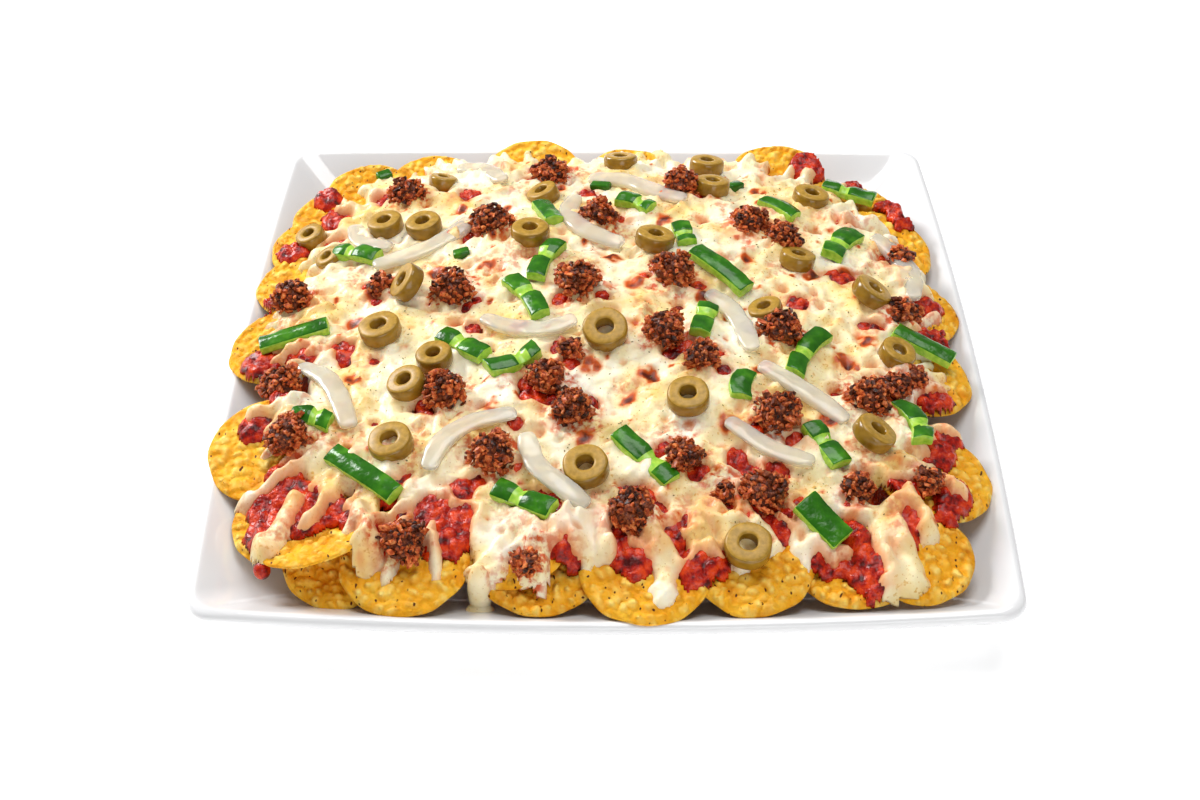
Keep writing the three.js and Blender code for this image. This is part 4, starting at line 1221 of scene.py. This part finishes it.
# %% Soften a packed strip
def softened(name, width, seed, pinch=None, rounds=2, widen=0):
    """A packed strip with rounded edges, an uneven surface and, if asked, a narrow pale waist."""
    bm = merged_copy(name)
    bmesh.ops.join_triangles(
        bm, faces=bm.faces, angle_face_threshold=0.5, angle_shape_threshold=1.2
    )
    sharp = [e for e in bm.edges if e.calc_face_angle(0) > 0.7]
    for face in bm.faces:
        face.material_index = 0 if face.normal.z > 0.75 else 1
    bmesh.ops.bevel(
        bm, geom=sharp, offset=width, segments=2, profile=0.5, affect="EDGES", material=-1
    )
    bmesh.ops.subdivide_edges(bm, edges=bm.edges, cuts=2, use_grid_fill=True)
    for _ in range(rounds):
        bmesh.ops.smooth_vert(
            bm, verts=bm.verts, factor=0.5, use_axis_x=True, use_axis_y=True, use_axis_z=True
        )
    bm.normal_update()
    points = np.array([v.co[:] for v in bm.verts])
    normals = np.array([v.normal[:] for v in bm.verts])
    x, y, z = points.T
    swell = 0.35 * lattice_noise(x + z, y + seed * 17, 5, 62)
    lift = swell + 0.12 * lattice_noise(x, y + z + seed * 9, 2, 63)
    points = points + normals * lift[:, None] + normals * [widen, widen, 0]
    if pinch is not None:
        middle = points.mean(0)
        _, _, axes = np.linalg.svd(points - middle, full_matrices=False)
        along = (points - middle) @ axes[0]
        across = (points - middle) @ axes[1]
        narrow = np.exp(-(((along / along.max()) - pinch) / 0.17) ** 2)
        points = points - np.outer(across * 0.22 * narrow, axes[1])
        points[:, 2] -= 1.5 * narrow * (points[:, 2] > middle[2])
        for vert, share in zip(bm.verts, narrow):
            if share > 0.55:
                for face in vert.link_faces:
                    face.material_index = 1
    for vert, point in zip(bm.verts, points):
        vert.co = point
    return bm


def gather(bm, other):
    """Moves one bmesh's faces into another."""
    mesh = bpy.data.meshes.new("part")
    other.to_mesh(mesh)
    other.free()
    bm.from_mesh(mesh)
    bpy.data.meshes.remove(mesh)


print("strips to soften:", len(nodes_called("pepper")) + len(nodes_called("onion")))

# %% [markdown]
# Two pepper strips in three get a waist. Four crumbs of pepper, too small for the solid model, are
# blocks with well rounded edges that lie flat on the cheese.

# %% Peppers
TINY_PEPPERS = [  # x, y, length, turn
    (-101, 115, 7, 30), (-2, 90, 9, -20), (58, 97, 8, 40), (-60, 34, 7, 10),
]
TINY_WIDTH = 5
TINY_HEIGHT = 4
bm = bmesh.new()
pepper_nodes = nodes_called("pepper")
for index, name in enumerate(pepper_nodes):
    pinch = (None, 0.15, -0.2)[index % 3]
    gather(bm, softened(name, 0.7, index, pinch))
for x, y, length, turn in TINY_PEPPERS:
    other = bmesh.new()
    bmesh.ops.create_cube(other, size=1)
    bmesh.ops.scale(other, vec=(length, TINY_WIDTH, TINY_HEIGHT), verts=other.verts)
    bmesh.ops.bevel(
        other, geom=other.edges[:], offset=1, segments=3, profile=0.5, affect="EDGES", material=-1
    )
    stand = placing(x, y, float(read(COVER, x, y)) + 0.6, cover_normal(x, y), turn)
    bmesh.ops.transform(other, matrix=stand, verts=other.verts)
    gather(bm, other)
print("pepper strips:", len(pepper_nodes) + len(TINY_PEPPERS), "faces:", len(bm.faces))
finish_piece("pepper_strips", bm, [pepper_skin, pepper_flesh], pepper_nodes)

# %% [markdown]
# ## The onions
# An arc of onion is one layer of a cut ring, flat and bendy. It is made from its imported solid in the
# same way as the peppers, with rounder edges.

# %% Onions
bm = bmesh.new()
onion_nodes = nodes_called("onion")
for index, name in enumerate(onion_nodes):
    gather(bm, softened(name, 1.1, index + 50, rounds=3, widen=1.5))
for face in bm.faces:
    face.material_index = 0
print("onion arcs:", len(onion_nodes), "faces:", len(bm.faces))
finish_piece("onion_arcs", bm, [onion_wet], onion_nodes)

# %% [markdown]
# ## The herbs
# A pinch of dried herb fell over the cheese. Each fleck is a scrap of leaf, longer than it is wide and
# very thin, so a twenty-sided ball is pressed flat and laid on the cheese at random places.

# %% Herbs
HERB_COUNT = 420
HERB_THICKNESS = 0.16
bm = bmesh.new()
bmesh.ops.create_icosphere(bm, subdivisions=1, radius=1)
fleck = template(bm)
rng = np.random.default_rng(71)
placements = []
while len(placements) < HERB_COUNT:
    x, y = rng.uniform(-118, 118, 2)
    if read(cheese_keep, x, y) < 0.95 or read(all_toppings, x, y) > 0:
        continue
    z = float(read(cheese_height, x, y)) + 0.05
    length = rng.uniform(0.25, 0.6)
    shape = Matrix.Diagonal((length, length * 0.5, HERB_THICKNESS, 1))
    placements.append((0, placing(x, y, z, cover_normal(x, y), rng.uniform(0, 360)) @ shape))
bm = joined_copies([fleck], placements)
print("herb flecks:", len(placements), "faces:", len(bm.faces))
finish_piece("herb_flecks", bm, [dried_herb], ["cheese_and_beef"])

# %% [markdown]
# ## Floor and light
# The picture was taken on a white table under broad, soft light, brightest from behind and above, which
# puts long highlights on the wet pieces. A low, weak light in front opens the shadows under the front
# chips. The tone curve is the plain one, so white stays white.

# %% Stage
table_white, tree, shader, place = new_material("table_white_matt")
shade = add(tree, "TexNoise", {"Scale": per_mm(400), "Detail": 1}, {"Vector": place})
white = add(tree, "ValToRGB", {"stops": [(0, "FAFAFA"), (1, "FFFFFF")]}, {"Fac": shade})
glow = {"Roughness": 0.9, "Emission Color": linear("FFFFFF"), "Emission Strength": 0.35}
settle(shader, glow, {"Base Color": white})

TABLE_HALF = 20
bm = bmesh.new()
bmesh.ops.create_grid(bm, x_segments=2, y_segments=2, size=TABLE_HALF)
mesh = bpy.data.meshes.new("table")
bm.to_mesh(mesh)
bm.free()
mesh.materials.append(table_white)
table = bpy.data.objects.new("table", mesh)
bpy.context.scene.collection.objects.link(table)

world = bpy.context.scene.world or bpy.data.worlds.new("studio")
bpy.context.scene.world = world
world.use_nodes = True
settle(world.node_tree.nodes["Background"], {"Color": linear("FFFFFF"), "Strength": 0.26})
bpy.context.scene.view_settings.view_transform = "Standard"

MIDDLE = Vector((0, 0, 0.04))
LIGHTS = [  # name, place in metres, width, watts
    ("key_window", (-1.2, 0.9, 0.93), 0.68, 31),
    ("overhead_softbox", (0.15, 0.4, 1.5), 1.0, 15),
    ("front_fill", (0.3, -1.25, 0.55), 0.8, 5),
]
for name, where, width, watts in LIGHTS:
    light = bpy.data.lights.new(name, "AREA")
    light.shape = "SQUARE"
    light.size = width
    light.energy = watts
    lamp = bpy.data.objects.new(name, light)
    lamp.location = where
    lamp.rotation_euler = (MIDDLE - Vector(where)).to_track_quat("-Z", "Y").to_euler()
    bpy.context.scene.collection.objects.link(lamp)
print("lights:", len(LIGHTS))
